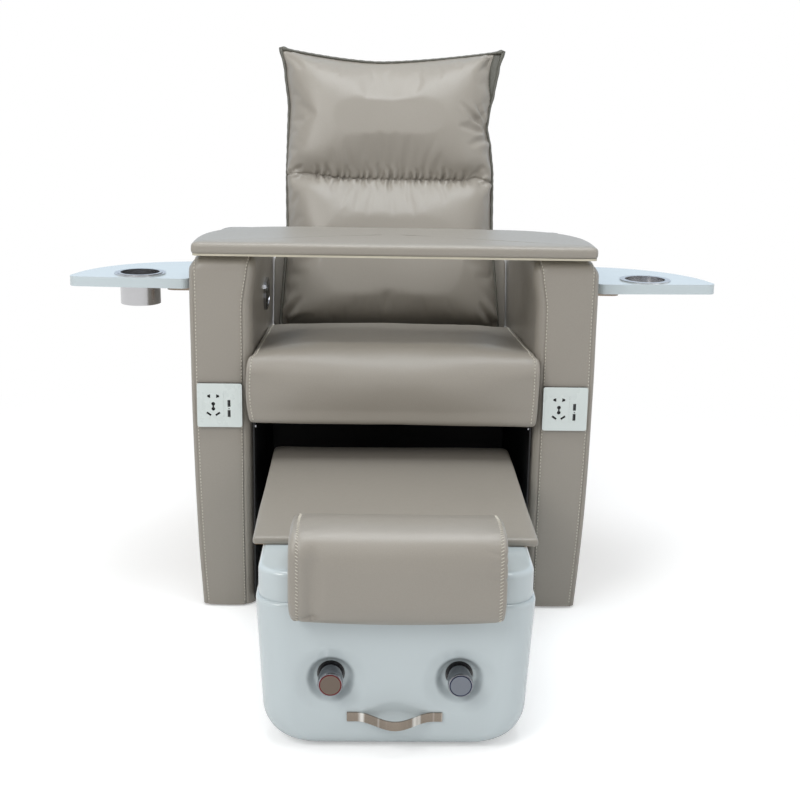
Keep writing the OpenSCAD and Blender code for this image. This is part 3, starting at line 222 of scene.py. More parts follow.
def effect_group(name, **inputs):
    """An empty shader node group that takes a place and the given values, with what it takes."""
    group = bpy.data.node_groups.new(name, "ShaderNodeTree")
    group.interface.new_socket(name="Place", in_out="INPUT", socket_type="NodeSocketVector")
    for key, value in inputs.items():
        kind = "Float" if isinstance(value, float) else "Color" if len(value) == 4 else "Vector"
        group.interface.new_socket(name=key.replace("_", " "), in_out="INPUT",
                                   socket_type="NodeSocket" + kind).default_value = value
    for key, kind in (("Colour", "Color"), ("Roughness", "Float"), ("Height", "Float")):
        group.interface.new_socket(name=key, in_out="OUTPUT", socket_type="NodeSocket" + kind)
    return group, group.nodes.new("NodeGroupInput").outputs


def effect_given(group, taken, tone, spread, height):
    """Ends the group: its colour times a tone, its shine made uneven by a spread, and its relief."""
    ends = group.nodes.new("NodeGroupOutput").inputs
    put(group, ends["Colour"], node(group, "VectorMath", {0: taken["Colour"], "Scale": tone},
                                    operation="SCALE"))
    put(group, ends["Roughness"], maths(group, "ADD", taken["Shine"], spread))
    put(group, ends["Height"], height)


# Pebbled grain with fine creases, soft clouding of the colour and uneven shine
hide_grain, hide_in = effect_group("hide_grain", Colour=(0.5, 0.5, 0.5, 1.0), Grain_Size=0.0013,
                                   Clouding=0.06, Shine=0.44)
cells_per_metre = maths(hide_grain, "DIVIDE", 1.0, hide_in["Grain Size"])
grain_bend = noise(hide_grain, hide_in["Place"], 240.0, 2.0)
bend_offset = node(hide_grain, "VectorMath", {0: grain_bend.outputs["Color"], 1: (0.0009, 0.0009, 0.0009)},
                   operation="MULTIPLY")
bent_place = node(hide_grain, "VectorMath", {0: hide_in["Place"], 1: bend_offset})
pebbles = node(hide_grain, "TexVoronoi", {"Vector": bent_place, "Scale": cells_per_metre},
               feature="SMOOTH_F1")
pores = noise(hide_grain, hide_in["Place"], 1500.0, 3.0)
creases = noise(hide_grain, bent_place, 95.0, 4.0, 0.62)
pebble_height = maths(hide_grain, "MULTIPLY", pebbles, -0.55)
pore_height = maths(hide_grain, "MULTIPLY_ADD", pores, 0.3, pebble_height)
grain_height = maths(hide_grain, "MULTIPLY_ADD", creases, 0.5, pore_height)
clouds = noise(hide_grain, hide_in["Place"], 5.5, 3.0, 0.55)
flecks = noise(hide_grain, hide_in["Place"], 420.0, 2.0)
cloud_share = maths(hide_grain, "SUBTRACT", clouds, 0.5)
fleck_share = maths(hide_grain, "SUBTRACT", flecks, 0.5)
tone = maths(hide_grain, "MULTIPLY_ADD", cloud_share, hide_in["Clouding"], 1.0)
tone_fine = maths(hide_grain, "MULTIPLY_ADD", fleck_share, 0.1, tone)
shine_spread = maths(hide_grain, "MULTIPLY_ADD", creases, 0.16, -0.08)
effect_given(hide_grain, hide_in, tone_fine, shine_spread, grain_height)


def new_finish(name, **constants):
    """A material with its principled shader, whose plain numbers are set on its own sockets."""
    material = bpy.data.materials.new(name)
    material.use_nodes = True
    tree = material.node_tree
    shader = tree.nodes["Principled BSDF"]
    for key, value in constants.items():
        shader.inputs[key.replace("_", " ")].default_value = value
    return material, tree, shader, tree.nodes.new("ShaderNodeTexCoord").outputs["Object"]


def grouped(tree, group, **sockets):
    """The shader group set into a material, with its own values."""
    made = tree.nodes.new("ShaderNodeGroup")
    made.node_tree = group
    for key, value in sockets.items():
        put(tree, made.inputs[key.replace("_", " ")], value)
    return made


def raised(tree, shader, height, distance, strength=1.0):
    """Small relief of a surface, from its height."""
    bump = node(tree, "Bump", {"Height": height, "Strength": strength, "Distance": distance})
    put(tree, shader.inputs["Normal"], bump.outputs["Normal"])


def finish_from(name, group, relief, strength, constants, **sockets):
    """A material whose colour, roughness and relief come from one of the effect groups."""
    material, tree, shader, place = new_finish(name, **constants)
    effect = grouped(tree, group, Place=place, **sockets)
    put(tree, shader.inputs["Base Color"], effect.outputs["Colour"])
    put(tree, shader.inputs["Roughness"], effect.outputs["Roughness"])
    raised(tree, shader, effect.outputs["Height"], relief, strength)
    return material


def leather(name, colour, shine=0.44):
    """Finished cow hide of one colour."""
    return finish_from(name, hide_grain, 0.0005, 0.55,
                       {"Specular_IOR_Level": 0.5, "Coat_Weight": 0.35, "Coat_Roughness": 0.33,
                        "Coat_Tint": (0.93, 0.97, 1.0, 1.0)}, Colour=colour, Shine=shine)


taupe_hide = leather("taupe_hide", leather_taupe)
thread, tree, shader, place = new_finish("pale_thread", Roughness=0.7, Sheen_Weight=0.3)
thread_twist = noise(tree, place, 1800.0, 2.0)
thread_shade = node(tree, "MixRGB", {"Fac": thread_twist, "Color1": thread_pale,
                                     "Color2": srgb(176, 170, 156)})
put(tree, shader.inputs["Base Color"], thread_shade)
raised(tree, shader, thread_twist.outputs[0], 0.0002)


def piece_from(name, points, faces, material):
    """A smooth-shaded mesh piece from its points and faces, linked to the scene."""
    mesh = bpy.data.meshes.new(name)
    mesh.from_pydata([tuple(p) for p in points], [], faces)
    mesh.materials.append(material)
    mesh.shade_smooth()
    made = bpy.data.objects.new(name, mesh)
    bpy.context.scene.collection.objects.link(made)
    return made


def grid_faces(rows, count, closed=False, start=0):
    """Faces between rows of points that hold the same number each."""
    faces = []
    for i in range(rows - 1):
        near, far = start + i * count, start + (i + 1) * count
        faces += [(near + j, near + (j + 1) % count, far + (j + 1) % count, far + j)
                  for j in range(count if closed else count - 1)]
    return faces


def welded(piece, reach=0.0002, close=True):
    """Joins the piece's points where they meet, closes its open ends and turns its faces outwards."""
    body = bmesh.new()
    body.from_mesh(piece.data)
    bmesh.ops.remove_doubles(body, verts=body.verts, dist=reach)
    bmesh.ops.dissolve_degenerate(body, edges=body.edges, dist=reach / 2)
    if close:
        bmesh.ops.holes_fill(body, edges=body.edges)
    bmesh.ops.recalc_face_normals(body, faces=body.faces)
    body.to_mesh(piece.data)
    body.free()
    piece.data.shade_smooth()


def settle(piece):
    """Applies what the piece's modifiers do to its mesh."""
    graph = bpy.context.evaluated_depsgraph_get()
    finished = bpy.data.meshes.new_from_object(piece.evaluated_get(graph))
    piece.modifiers.clear()
    old = piece.data
    piece.data = finished
    bpy.data.meshes.remove(old)
    finished.name = piece.name


def smooth_out(piece):
    """Subdivides the piece once, for good."""
    modifier = piece.modifiers.new("smooth", "SUBSURF")
    modifier.levels = 1
    modifier.render_levels = 1
    settle(piece)
    piece.data.shade_smooth()


def read_points(piece):
    """The piece's points and normals as arrays."""
    count = len(piece.data.vertices)
    points = np.empty(count * 3)
    normals = np.empty(count * 3)
    piece.data.vertices.foreach_get("co", points)
    piece.data.vertices.foreach_get("normal", normals)
    return points.reshape(-1, 3), normals.reshape(-1, 3)


def write_points(piece, points):
    """Puts the piece's points back."""
    piece.data.vertices.foreach_set("co", np.asarray(points, float).ravel())
    piece.data.update()


def value_noise(spots):
    """Soft noise between -1 and 1 at each spot, from values at the corners of a unit grid."""
    cell = np.floor(spots)
    share = spots - cell
    share = share * share * (3 - 2 * share)
    total = np.zeros(len(spots))
    for corner in ((0, 0, 0), (1, 0, 0), (0, 1, 0), (1, 1, 0), (0, 0, 1), (1, 0, 1), (0, 1, 1), (1, 1, 1)):
        spot = cell + corner
        value = np.sin(spot @ np.array((12.9898, 78.233, 37.719))) * 43758.5453
        value = (value - np.floor(value)) * 2 - 1
        total += value * np.prod(np.where(corner, share, 1 - share), axis=1)
    return total


def rumple(piece, amount, size, seed, stretch=(1.0, 1.0, 1.0)):
    """The slight unevenness of leather over foam."""
    points, normals = read_points(piece)
    spots = points / size * np.array(stretch) + np.array((seed, seed * 1.7, -seed))
    write_points(piece, points + normals * (amount * value_noise(spots))[:, None])


def evened(path, step):
    """The same path with a point every step along it."""
    path = np.array(path, float)
    lengths = np.concatenate([[0.0], np.cumsum(np.linalg.norm(np.diff(path, axis=0), axis=1))])
    count = max(2, int(round(lengths[-1] / step)) + 1)
    marks = np.linspace(0.0, lengths[-1], count)
    return np.stack([np.interp(marks, lengths, path[:, k]) for k in range(3)], axis=1)


def sewn(name, runs, body, surface, radius):
    """Stitches lying on a surface. Each is a short thread that dips into the leather at its ends."""
    sides = 6
    profile = ((-0.5, 0.35, -0.6), (-0.42, 0.9, 0.1), (-0.2, 1.0, 0.55), (0.2, 1.0, 0.55), (0.42, 0.9, 0.1),
               (0.5, 0.35, -0.6))
    points, faces = [], []
    for a, b in runs:
        a, b = Vector(a), Vector(b)
        length = (b - a).length
        _, centre, out, _ = surface.closest_point_on_mesh((a + b) / 2)
        along = (b - a).normalized()
        across = along.cross(out).normalized()
        out = across.cross(along).normalized()
        start = len(points)
        for share, fat, lift in profile:
            middle = centre + along * (share * length) + out * (lift * radius)
            for s in range(sides):
                turn = 2 * math.pi * s / sides
                points.append(middle + (across * math.cos(turn) + out * math.sin(turn)) * radius * fat)
        faces += grid_faces(len(profile), sides, True, start)
        faces.append(tuple(start + s for s in reversed(range(sides))))
        faces.append(tuple(start + (len(profile) - 1) * sides + s for s in range(sides)))
    row = piece_from(name, points, faces, thread)
    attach(row, body)


def stitches(name, path, body, surface):
    """A row of top stitches along a path."""
    marks = evened(path, stitch_pitch)
    runs = []
    for a, b in zip(marks[:-1], marks[1:]):
        middle = (a + b) / 2
        half = (b - a) / np.linalg.norm(b - a) * stitch_length / 2
        runs.append((middle - half, middle + half))
    sewn(name, runs, body, surface, stitch_r)


def eased(a, b, share):
    """A value that leaves one level and reaches another softly."""
    share = min(1.0, max(0.0, share))
    return a + (b - a) * share * share * (3 - 2 * share)


def turning(centre_y, centre_z, radius, start, end, steps):
    """Round corner as places with their outward directions, from one angle to another in degrees."""
    made = []
    for i in range(1, steps + 1):
        a = math.radians(start + (end - start) * i / steps)
        ny, nz = math.cos(a), math.sin(a)
        made.append((centre_y + radius * ny, centre_z + radius * nz, ny, nz))
    return made


def arm_faces(z):
    """Where the arm's inner and outer faces lie at a height."""
    drawn = arm_draw * (1 - (z - arm_foot) / (arm_draw_top - arm_foot)) ** 2 if z < arm_draw_top else 0.0
    return arm_in - arm_roll * eased(0.0, 1.0, (z - roll_low) / (roll_high - roll_low)), arm_out - drawn


# Stations up the front, over the top and down the rear. Each holds its place and outward direction,
# the roundings of the outer and inner edge, the insets of the two seams and the strip's crown.
low_heights = [arm_foot, arm_foot + 0.0012, arm_foot + 0.0035]
low_heights += list(np.linspace(arm_foot + 0.008, arm_core_z, 54))
front_form = (0.011, 0.026, 0.009, 0.0175, 0.0026)
top_form = (0.036, 0.022, 0.0105, 0.0105, 0.0018)
rear_form = (0.012, 0.005, 0.009, 0.009, 0.0015)
form_change_z, form_change = 0.60, 0.28


def between(a, b, share):
    """Mix of two sets of sizes."""
    return tuple(eased(p, q, share) for p, q in zip(a, b))


arm_stations = []
for z in low_heights + list(np.linspace(arm_core_z, arm_top - front_top_r, 30))[1:]:
    set_back = 0.0
    if z < arm_set_top:
        set_back = arm_set_back * (1 - (z - arm_foot) / (arm_set_top - arm_foot)) ** 2
    arm_stations.append(((set_back, z, -1.0, 0.0),
                         between(front_form, top_form, (z - form_change_z) / form_change)))
for k, spot in enumerate(turning(front_top_r, arm_top - front_top_r, front_top_r, 180, 90, 9)):
    share = (arm_top - front_top_r - form_change_z) / form_change + 0.7 * (k + 1) / 9
    arm_stations.append((spot, between(front_form, top_form, share)))
for y in np.linspace(front_top_r, arm_curve_to, 74)[1:]:
    t = max(0.0, y - arm_level_to) / (arm_curve_to - arm_level_to)
    slope = 2 * arm_fall * t / (arm_curve_to - arm_level_to)
    norm = math.hypot(slope, 1.0)
    arm_stations.append(((y, arm_top - arm_fall * t * t, slope / norm, 1 / norm), top_form))
for k, spot in enumerate(turning(arm_depth - rear_top_r, arm_top - arm_rear_fall - rear_top_r, rear_top_r,
                                 rear_top_angle, 0, 9)):
    arm_stations.append((spot, between(top_form, rear_form, (k + 1) / 9)))
for z in list(np.linspace(arm_top - arm_rear_fall - rear_top_r, arm_core_z, 18))[1:] + low_heights[-2::-1]:
    arm_stations.append(((arm_depth, z, 1.0, 0.0), rear_form))

side_shares = (1.0, 0.86, 0.70, 0.55, 0.40, 0.27, 0.16, 0.08, 0.03)
# Each seam sinks between its two panels, and the thread gathers small puckers beside it
seam_sink, seam_width = 0.0017, 0.0021
pucker_rise, pucker_off, pucker_width, pucker_pitch = 0.00035, 0.0042, 0.003, 0.017
seam_steps = (-0.0055, -0.0034, -0.0018, -0.0008, 0.0, 0.0008, 0.0018, 0.0034, 0.0055)
edge_columns = 5
strip_columns = 14
first_seam = len(side_shares) + edge_columns - 1 + seam_steps.index(0.0)
second_seam = first_seam + len(seam_steps) + strip_columns - 2


def seam_arc(radius, inset):
    """Way round an edge's rounding from the side face to a seam that lies so far in."""
    if inset < radius:
        return radius * math.acos(1 - inset / radius)
    return radius * math.pi / 2 + inset - radius


def arm_row(place, form, along):
    """Points across the arm at one station, over its inner face, the strip and its outer face."""
    y, z, ny, nz = place
    r_out, r_in, inset_out, inset_in, crown = form
    face_in, face_out = arm_faces(z - nz * r_out)
    quarter_in, quarter_out = r_in * math.pi / 2, r_out * math.pi / 2
    total = quarter_in + (face_out - r_out - face_in - r_in) + quarter_out
    seam_in, seam_out = seam_arc(r_in, inset_in), total - seam_arc(r_out, inset_out)
    gather = math.sin(2 * math.pi * along / pucker_pitch + 2.0 * math.sin(along * 23.0))
    steps = list(np.linspace(0.0, seam_in + seam_steps[0], edge_columns)[:-1])
    steps += [seam_in + s for s in seam_steps]
    steps += list(np.linspace(seam_in + seam_steps[-1], seam_out + seam_steps[0], strip_columns)[1:-1])
    steps += [seam_out + s for s in seam_steps]
    steps += list(np.linspace(seam_out + seam_steps[-1], total, edge_columns)[1:])
    core = (arm_core_y, min(z, arm_core_z))
    row = []
    for share in side_shares:
        spot_z = (z - nz * r_in) * (1 - share) + core[1] * share
        row.append((arm_faces(spot_z)[0], (y - ny * r_in) * (1 - share) + core[0] * share, spot_z))
    for u in steps:
        x, depth, side, out = face_in + r_in + u - quarter_in, 0.0, 0.0, 1.0
        if u < quarter_in:
            side, out = -math.cos(u / r_in), math.sin(u / r_in)
            x, depth = face_in + r_in * (1 + side), r_in * (1 - out)
        elif u > total - quarter_out:
            side, out = math.cos((total - u) / r_out), math.sin((total - u) / r_out)
            x, depth = face_out - r_out * (1 - side), r_out * (1 - out)
        v = (u - seam_in) / (seam_out - seam_in)
        height = crown * math.sin(math.pi * v) ** 0.35 if 0.0 < v < 1.0 else 0.0
        for seam in (seam_in, seam_out):
            height -= seam_sink * math.exp(-((u - seam) / seam_width) ** 2)
            height += pucker_rise * gather * math.exp(-((abs(u - seam) - pucker_off) / pucker_width) ** 2)
        row.append((x + side * height, y + ny * (height * out - depth), z + nz * (height * out - depth)))
    for share in reversed(side_shares):
        spot_z = (z - nz * r_out) * (1 - share) + core[1] * share
        row.append((arm_faces(spot_z)[1], (y - ny * r_out) * (1 - share) + core[0] * share, spot_z))
    return row


arm_rows = []
travelled = 0.0
for k, (place, form) in enumerate(arm_stations):
    if k:
        travelled += math.hypot(place[0] - arm_stations[k - 1][0][0], place[1] - arm_stations[k - 1][0][1])
    arm_rows.append([(x, arm_low.y + y, z) for x, y, z in arm_row(place, form, travelled)])
arm_rows = np.array(arm_rows)
arm_columns = arm_rows.shape[1]
last_row = (len(arm_rows) - 1) * arm_columns
arm_faces_list = grid_faces(len(arm_rows), arm_columns)
for start in (0, last_row):
    arm_faces_list += [(start + j, start + j + 1, start + arm_columns - 2 - j, start + arm_columns - 1 - j)
                       for j in range(arm_columns // 2 - 1)]

for side, way in (("right", 1), ("left", -1)):
    rows = arm_rows * np.array([way, 1.0, 1.0])
    arm = piece_from(side + "_arm_leather", rows.reshape(-1, 3), arm_faces_list, taupe_hide)
    welded(arm, 0.00005)
    rumple(arm, 0.0018, 0.17, way * 3.1, (1.0, 1.0, 0.8))
    rumple(arm, 0.0007, 0.05, way * 5.7, (1.0, 1.0, 0.5))
    arm.data.set_sharp_from_angle(angle=math.radians(55))
    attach(arm, "chair")
    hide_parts(side + "_arm", side + "_arm_panel")
    for label, column in (("inner", first_seam + 3), ("outer", second_seam - 3)):
        stitches(f"{side}_arm_{label}_stitches", rows[3:-20, column], "chair", arm)


# Seat cushion
# A thick foam block on the seat board. Its leather is boxed: one panel runs up the front and back
# over the top, and a side panel is sewn to it at each end. The foam fills it out as cloth.
seat_low, seat_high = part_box("seat_cushion")
seat_board_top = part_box("seat_board")[1].z
seat_front = seat_low.y
seat_rear = seat_high.y
seat_ledge = arm_low.y - 0.004
seat_wide = seat_high.x
seat_narrow = arm_in - 0.0008
seat_slope = math.radians(4.6)
seat_crown = 0.006
seat_bulge = {-1: 0.0060, 1: 0.0006}
seat_face_top = 0.536 - seat_crown
seat_top_r = 0.038


def seat_height(y):
    """Height of the seat's top without its crown."""
    return seat_face_top - (y - seat_front) * math.tan(seat_slope)


def arc_points(cx, cz, radius, start, end, count):
    """Points of a round corner, from one angle to another in degrees."""
    return [(cx + radius * math.cos(math.radians(start + (end - start) * i / count)),
             cz + radius * math.sin(math.radians(start + (end - start) * i / count)))
            for i in range(count + 1)]


def skin_over(name, rings, material, finished=True):
    """Leather stretched over a row of closed rings, smoothed out and closed at both ends."""
    rings = np.array(rings, float)
    made = piece_from(name, rings.reshape(-1, 3), grid_faces(len(rings), rings.shape[1], True), material)
    welded(made, close=False)
    if finished:
        smooth_out(made)
        welded(made, 0.00002)
    return made


foam_frames = 20


def puffed(piece, held, pressure, cap, shrink=0.0):
    """Lets Blender's cloth blow the leather out against the points that are held, up to a cap."""
    start, _ = read_points(piece)
    pinned = piece.vertex_groups.new(name="held")
    pinned.add([int(i) for i in np.nonzero(held)[0]], 1.0, "REPLACE")
    cloth = piece.modifiers.new("foam", "CLOTH")
    cloth.settings.vertex_group_mass = "held"
    cloth.settings.use_pressure = True
    cloth.settings.uniform_pressure_force = pressure
    cloth.settings.effector_weights.gravity = 0.0
    cloth.settings.shrink_min = shrink
    cloth.settings.quality = 5
    cloth.collision_settings.use_collision = False
    cloth.point_cache.frame_start = 1
    cloth.point_cache.frame_end = foam_frames
    for step in range(1, foam_frames + 1):
        bpy.context.scene.frame_set(step)
    settle(piece)
    bpy.context.scene.frame_set(1)
    piece.vertex_groups.clear()
    moved = read_points(piece)[0] - start
    lengths = np.linalg.norm(moved, axis=1, keepdims=True)
    write_points(piece, start + moved * np.minimum(1.0, cap / np.maximum(lengths, 1e-9)))


seat_round_y = seat_front + seat_top_r
seat_round_z = seat_height(seat_round_y) - seat_top_r / math.cos(seat_slope) + seat_top_r * 0.002
seat_profile = arc_points(seat_front + 0.014, seat_low.z + 0.013, 0.013, 270, 186, 4)
seat_profile += [(seat_front + 0.0012 * t * t,
                  (seat_low.z + 0.028) * (1 - t) / 2 + (seat_round_z - 0.006) * (1 + t) / 2)
                 for t in np.linspace(-1, 1, 12)]
seat_profile += arc_points(seat_round_y, seat_round_z, seat_top_r, 178, 88, 9)
seat_profile += [(y, seat_height(y)) for y in np.linspace(seat_round_y + 0.010, seat_rear - 0.016, 42)]
seat_profile += arc_points(seat_rear - 0.014, seat_height(seat_rear) - 0.016, 0.014, 80, 0, 4)
seat_profile += [(seat_rear, z)
                 for z in np.linspace(seat_height(seat_rear) - 0.026, seat_board_top + 0.010, 4)]
seat_profile += [(y, seat_board_top + 0.0012)
                 for y in np.linspace(seat_rear - 0.008, seat_ledge + 0.012, 22)]
seat_profile += [(seat_ledge + 0.003, seat_board_top - 0.006), (seat_ledge, seat_board_top - 0.020),
                 (seat_ledge, seat_low.z + 0.012), (seat_ledge - 0.004, seat_low.z + 0.002)]


# Rings from an end panel over its seam: how far drawn in, and the distance from the end
seat_end = ((0.95, 0.0010), (0.70, 0.0004), (0.45, 0.0), (0.25, 0.0), (0.13, 0.0002), (0.065, 0.0009),
            (0.028, 0.0024), (0.012, 0.0042), (0.0165, 0.0056), (0.0185, 0.0064), (0.0135, 0.0074),
            (0.004, 0.0094), (0.0, 0.0125), (0.0, 0.019))


def seat_point(spot, end, inset, share, across=None):
    """A point of the seat from its spot on the side outline, its end, how far in from that end it lies
    and how far the outline has drawn in towards the core."""
    y, z = spot
    core_y = min(max(y, seat_front + 0.045), seat_rear - 0.04)
    core_z = (seat_board_top + seat_height(y)) / 2 if y > seat_ledge + 0.005 else min(max(z, 0.425), 0.490)
    y += (core_y - y) * share
    z += (core_z - z) * share
    ahead_of_arms = 1 - min(1.0, max(0.0, (y - arm_low.y + 0.008) / 0.006))
    rise = min(1.0, max(0.0, (z - seat_low.z) / (seat_face_top - seat_low.z)))
    bulge = seat_bulge[end] * math.sin(math.pi * rise ** 0.8)
    half = seat_narrow + (seat_wide - seat_narrow + bulge - 0.004 * (1 - rise) ** 3) * ahead_of_arms
    x = half - inset if across is None else across * (half - seat_end[-1][1])
    across = x / half
    if z > seat_board_top + 0.02 and y > seat_front + 0.004:
        rounded = min(1.0, (seat_rear - y) / 0.06 + 0.25) * min(1.0, (y - seat_front) / 0.03)
        z += seat_crown * (1 - abs(across) ** 4) * rounded
    return (end * x, y, z)


seat_seam_ring = 9
seat_rings = [[seat_point(spot, -1, d, share) for spot in seat_profile] for share, d in seat_end]
for x in np.linspace(-1, 1, 49)[1:-1]:
    seat_rings.append([seat_point(spot, 1 if x > 0 else -1, 0.0, 0.0, abs(x)) for spot in seat_profile])
seat_rings += [[seat_point(spot, 1, d, share) for spot in seat_profile] for share, d in reversed(seat_end)]
seat = skin_over("seat_leather", seat_rings, taupe_hide, False)
seat_points, _ = read_points(seat)
seat_free = (seat_points[:, 2] > seat_low.z + 0.030) & (abs(seat_points[:, 0]) < seat_narrow - 0.006)
seat_free &= (seat_points[:, 2] > seat_board_top + 0.020) | (seat_points[:, 1] < seat_front + 0.010)
seat_free &= seat_points[:, 1] < seat_rear - 0.012
puffed(seat, ~seat_free, 4.0, 0.008)
smooth_out(seat)
welded(seat, 0.00002)
rumple(seat, 0.0022, 0.14, 5.0)
rumple(seat, 0.0008, 0.045, 9.0)
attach(seat, "chair")
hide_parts("seat_cushion")
for side, ring in (("left", seat_seam_ring + 2), ("right", len(seat_rings) - 3 - seat_seam_ring)):
    stitches(f"seat_{side}_stitches", seat_rings[ring][3:70], "chair", seat)


# Back cushion
# A loose pillow of leather over foam and down, hung on the reclining back. Its front and rear
# panels are sewn together round a dark welt, and a gathered seam crosses the front panel.
lean = math.radians(17.0)
hinge_y = arm_low.y + 0.520
hinge_z = 0.440
welt_depth = -0.020
welt_r = 0.0032
back_rear_depth = 0.0140
back_bulge = 0.046
left_edge = ((0.029, 0.248), (0.257, 0.2344), (0.382, 0.2370), (0.455, 0.2360), (0.537, 0.2350),
             (0.618, 0.2448), (0.672, 0.2560))
right_edge = ((0.029, 0.246), (0.263, 0.2296), (0.389, 0.2300), (0.448, 0.2250), (0.492, 0.2170),
              (0.530, 0.2220), (0.574, 0.2330), (0.630, 0.2436), (0.674, 0.2550))
# One dark leather for the welt's own colour and for painted shade on the pillow's upper right side
welt_and_shade_colour = srgb(88, 86, 77)
welt_and_shaded_side_hide = leather("welt_and_shaded_side_hide", welt_and_shade_colour, 0.5)


def leaning(x, depth, height):
    """A point of the backrest, from its depth behind the hinge line and its height up the slope."""
    return (x, hinge_y + depth * math.cos(lean) + height * math.sin(lean),
            hinge_z - depth * math.sin(lean) + height * math.cos(lean))


def soft_line(knots, at):
    """A value read off a smooth line through given knots."""
    for (a, p), (b, q) in zip(knots[:-1], knots[1:]):
        if at <= b:
            return eased(p, q, (at - a) / (b - a)) * 0.5 + (p + (q - p) * max(0.0, at - a) / (b - a)) * 0.5
    return knots[-1][1]


def back_top(x):
    """Height of the cushion's upper edge. It dips between the two ears."""
    t = abs(x + 0.030) / (0.215 if x < -0.030 else 0.270)
    return 0.6405 + 0.0320 * t ** 1.55


def back_seam(x):
    """Height of the gathered seam. It hangs a little in the middle."""
    return 0.3670 + 0.011 * eased(0, 1, (-x - 0.10) / 0.11) + 0.007 * math.exp(-((x - 0.192) / 0.016) ** 2)


def back_bottom(x):
    """Height of the cushion's lower edge."""
    return 0.0300 + 0.004 * (x / 0.24) ** 2


def swelling(reach, radius):
    """How far a pillow has risen at a distance from its edge."""
    t = min(1.0, max(0.0, reach / radius))
    return (1 - (1 - t) ** 2.2) ** 0.5


back_columns = 104
lower_rows, upper_rows = 36, 44
across_shares = []
for i in range(back_columns + 1):
    crowded = math.sin(math.pi * (i / back_columns - 0.5))
    across_shares.append(0.5 + 0.5 * (crowded * 0.3 + (2 * i / back_columns - 1) * 0.7))


def back_row(lower, share):
    """A row of the front panel at a share of the way from one edge to the seam, or from it to the other."""
    row = []
    for c in across_shares:
        rough_x = -0.235 + 0.465 * c
        if lower:
            h = back_bottom(rough_x) + (back_seam(rough_x) - back_bottom(rough_x)) * share
        else:
            h = back_seam(rough_x) + (back_top(rough_x) - back_seam(rough_x)) * share
        low, high = -soft_line(left_edge, h), soft_line(right_edge, h)
        x = low + (high - low) * c
        flap = 0.020 * eased(0, 1, (h - 0.53) / 0.10)
        from_left, from_right = x - low, max(0.0, high - x - flap)
        from_seam = abs(h - back_seam(rough_x))
        rise = swelling(from_left, 0.085) * swelling(from_right, 0.080)
        if lower:
            rise *= swelling(h - back_bottom(rough_x), 0.055) * 0.98
        else:
            rise *= swelling(back_top(rough_x) - h, 0.105)
        tied = min(1.0, from_left / 0.03) * min(1.0, from_right / 0.03)
        rise *= 1 - 0.52 * math.exp(-(from_seam / 0.026) ** 2) * tied
        row.append((x, welt_depth - back_bulge * rise, h))
    return row


lower_steps = [1 - (1 - j / lower_rows) ** 1.25 for j in range(lower_rows)]
upper_steps = [(j / upper_rows) ** 1.25 for j in range(upper_rows + 1)]
front_rows = [back_row(True, t) for t in lower_steps] + [back_row(False, t) for t in upper_steps]
row_count, column_count = len(front_rows), back_columns + 1
sheet = np.array(front_rows)
edge = [(0, i) for i in range(column_count)]
edge += [(j, column_count - 1) for j in range(1, row_count)]
edge += [(row_count - 1, i) for i in range(column_count - 2, -1, -1)]
edge += [(j, 0) for j in range(row_count - 2, 0, -1)]
welt_line = np.array([sheet[j, i] for j, i in edge])
welt_line[:, 1] = welt_depth
middle = np.array([0.0, 0.0, 0.350])
rear_rings = []
# Each ring behind the welt: share of the way in to the middle, and depth
for inward, depth in ((-0.010, -0.0130), (-0.008, -0.0040), (0.012, 0.0060), (0.05, 0.0115),
                      (0.12, back_rear_depth), (0.3, back_rear_depth), (0.55, back_rear_depth),
                      (0.8, back_rear_depth), (0.97, back_rear_depth)):
    ring = welt_line + (middle - welt_line) * inward
    ring[:, 1] = depth
    rear_rings.append(ring)
flat_points = np.concatenate([sheet.reshape(-1, 3), np.concatenate([welt_line] + rear_rings)])
back_faces = grid_faces(row_count, column_count)
back_faces += grid_faces(len(rear_rings) + 1, len(edge), True, row_count * column_count)
back = piece_from("back_leather", [leaning(*p) for p in flat_points], back_faces, taupe_hide)
welded(back, 0.0003, close=False)


def on_back(points):
    """Places on the backrest again as across, depth and height up the slope."""
    away = points - np.array([0.0, hinge_y, hinge_z])
    return np.stack([points[:, 0], away[:, 1] * math.cos(lean) - away[:, 2] * math.sin(lean),
                     away[:, 1] * math.sin(lean) + away[:, 2] * math.cos(lean)], axis=1)


places = on_back(read_points(back)[0])
seam_heights = np.array([back_seam(x) for x in places[:, 0]])
held = places[:, 1] > welt_depth - 0.0015
held |= (abs(places[:, 2] - seam_heights) < 0.0012)
puffed(back, held, 4.0, 0.016, -0.015)
smooth_out(back)
welded(back, 0.00002)
rumple(back, 0.0030, 0.12, 2.0)

# Gathers at the seam: place, way up and down, and depth of each
gathers = []
for k in range(23):
    x = -0.168 + 0.0150 * k + 0.0035 * math.sin(2.3 * k)
    long = 1.0 + 0.55 * math.exp(-((x + 0.02) / 0.05) ** 2)
    gathers.append((x, (0.024 + 0.007 * math.sin(1.7 * k)) * long, 0.0064 + 0.0014 * math.sin(3.1 * k),
                    (0.018 + 0.007 * math.sin(2.9 * k + 1)) * long, 0.0050 + 0.0016 * math.sin(1.3 * k)))
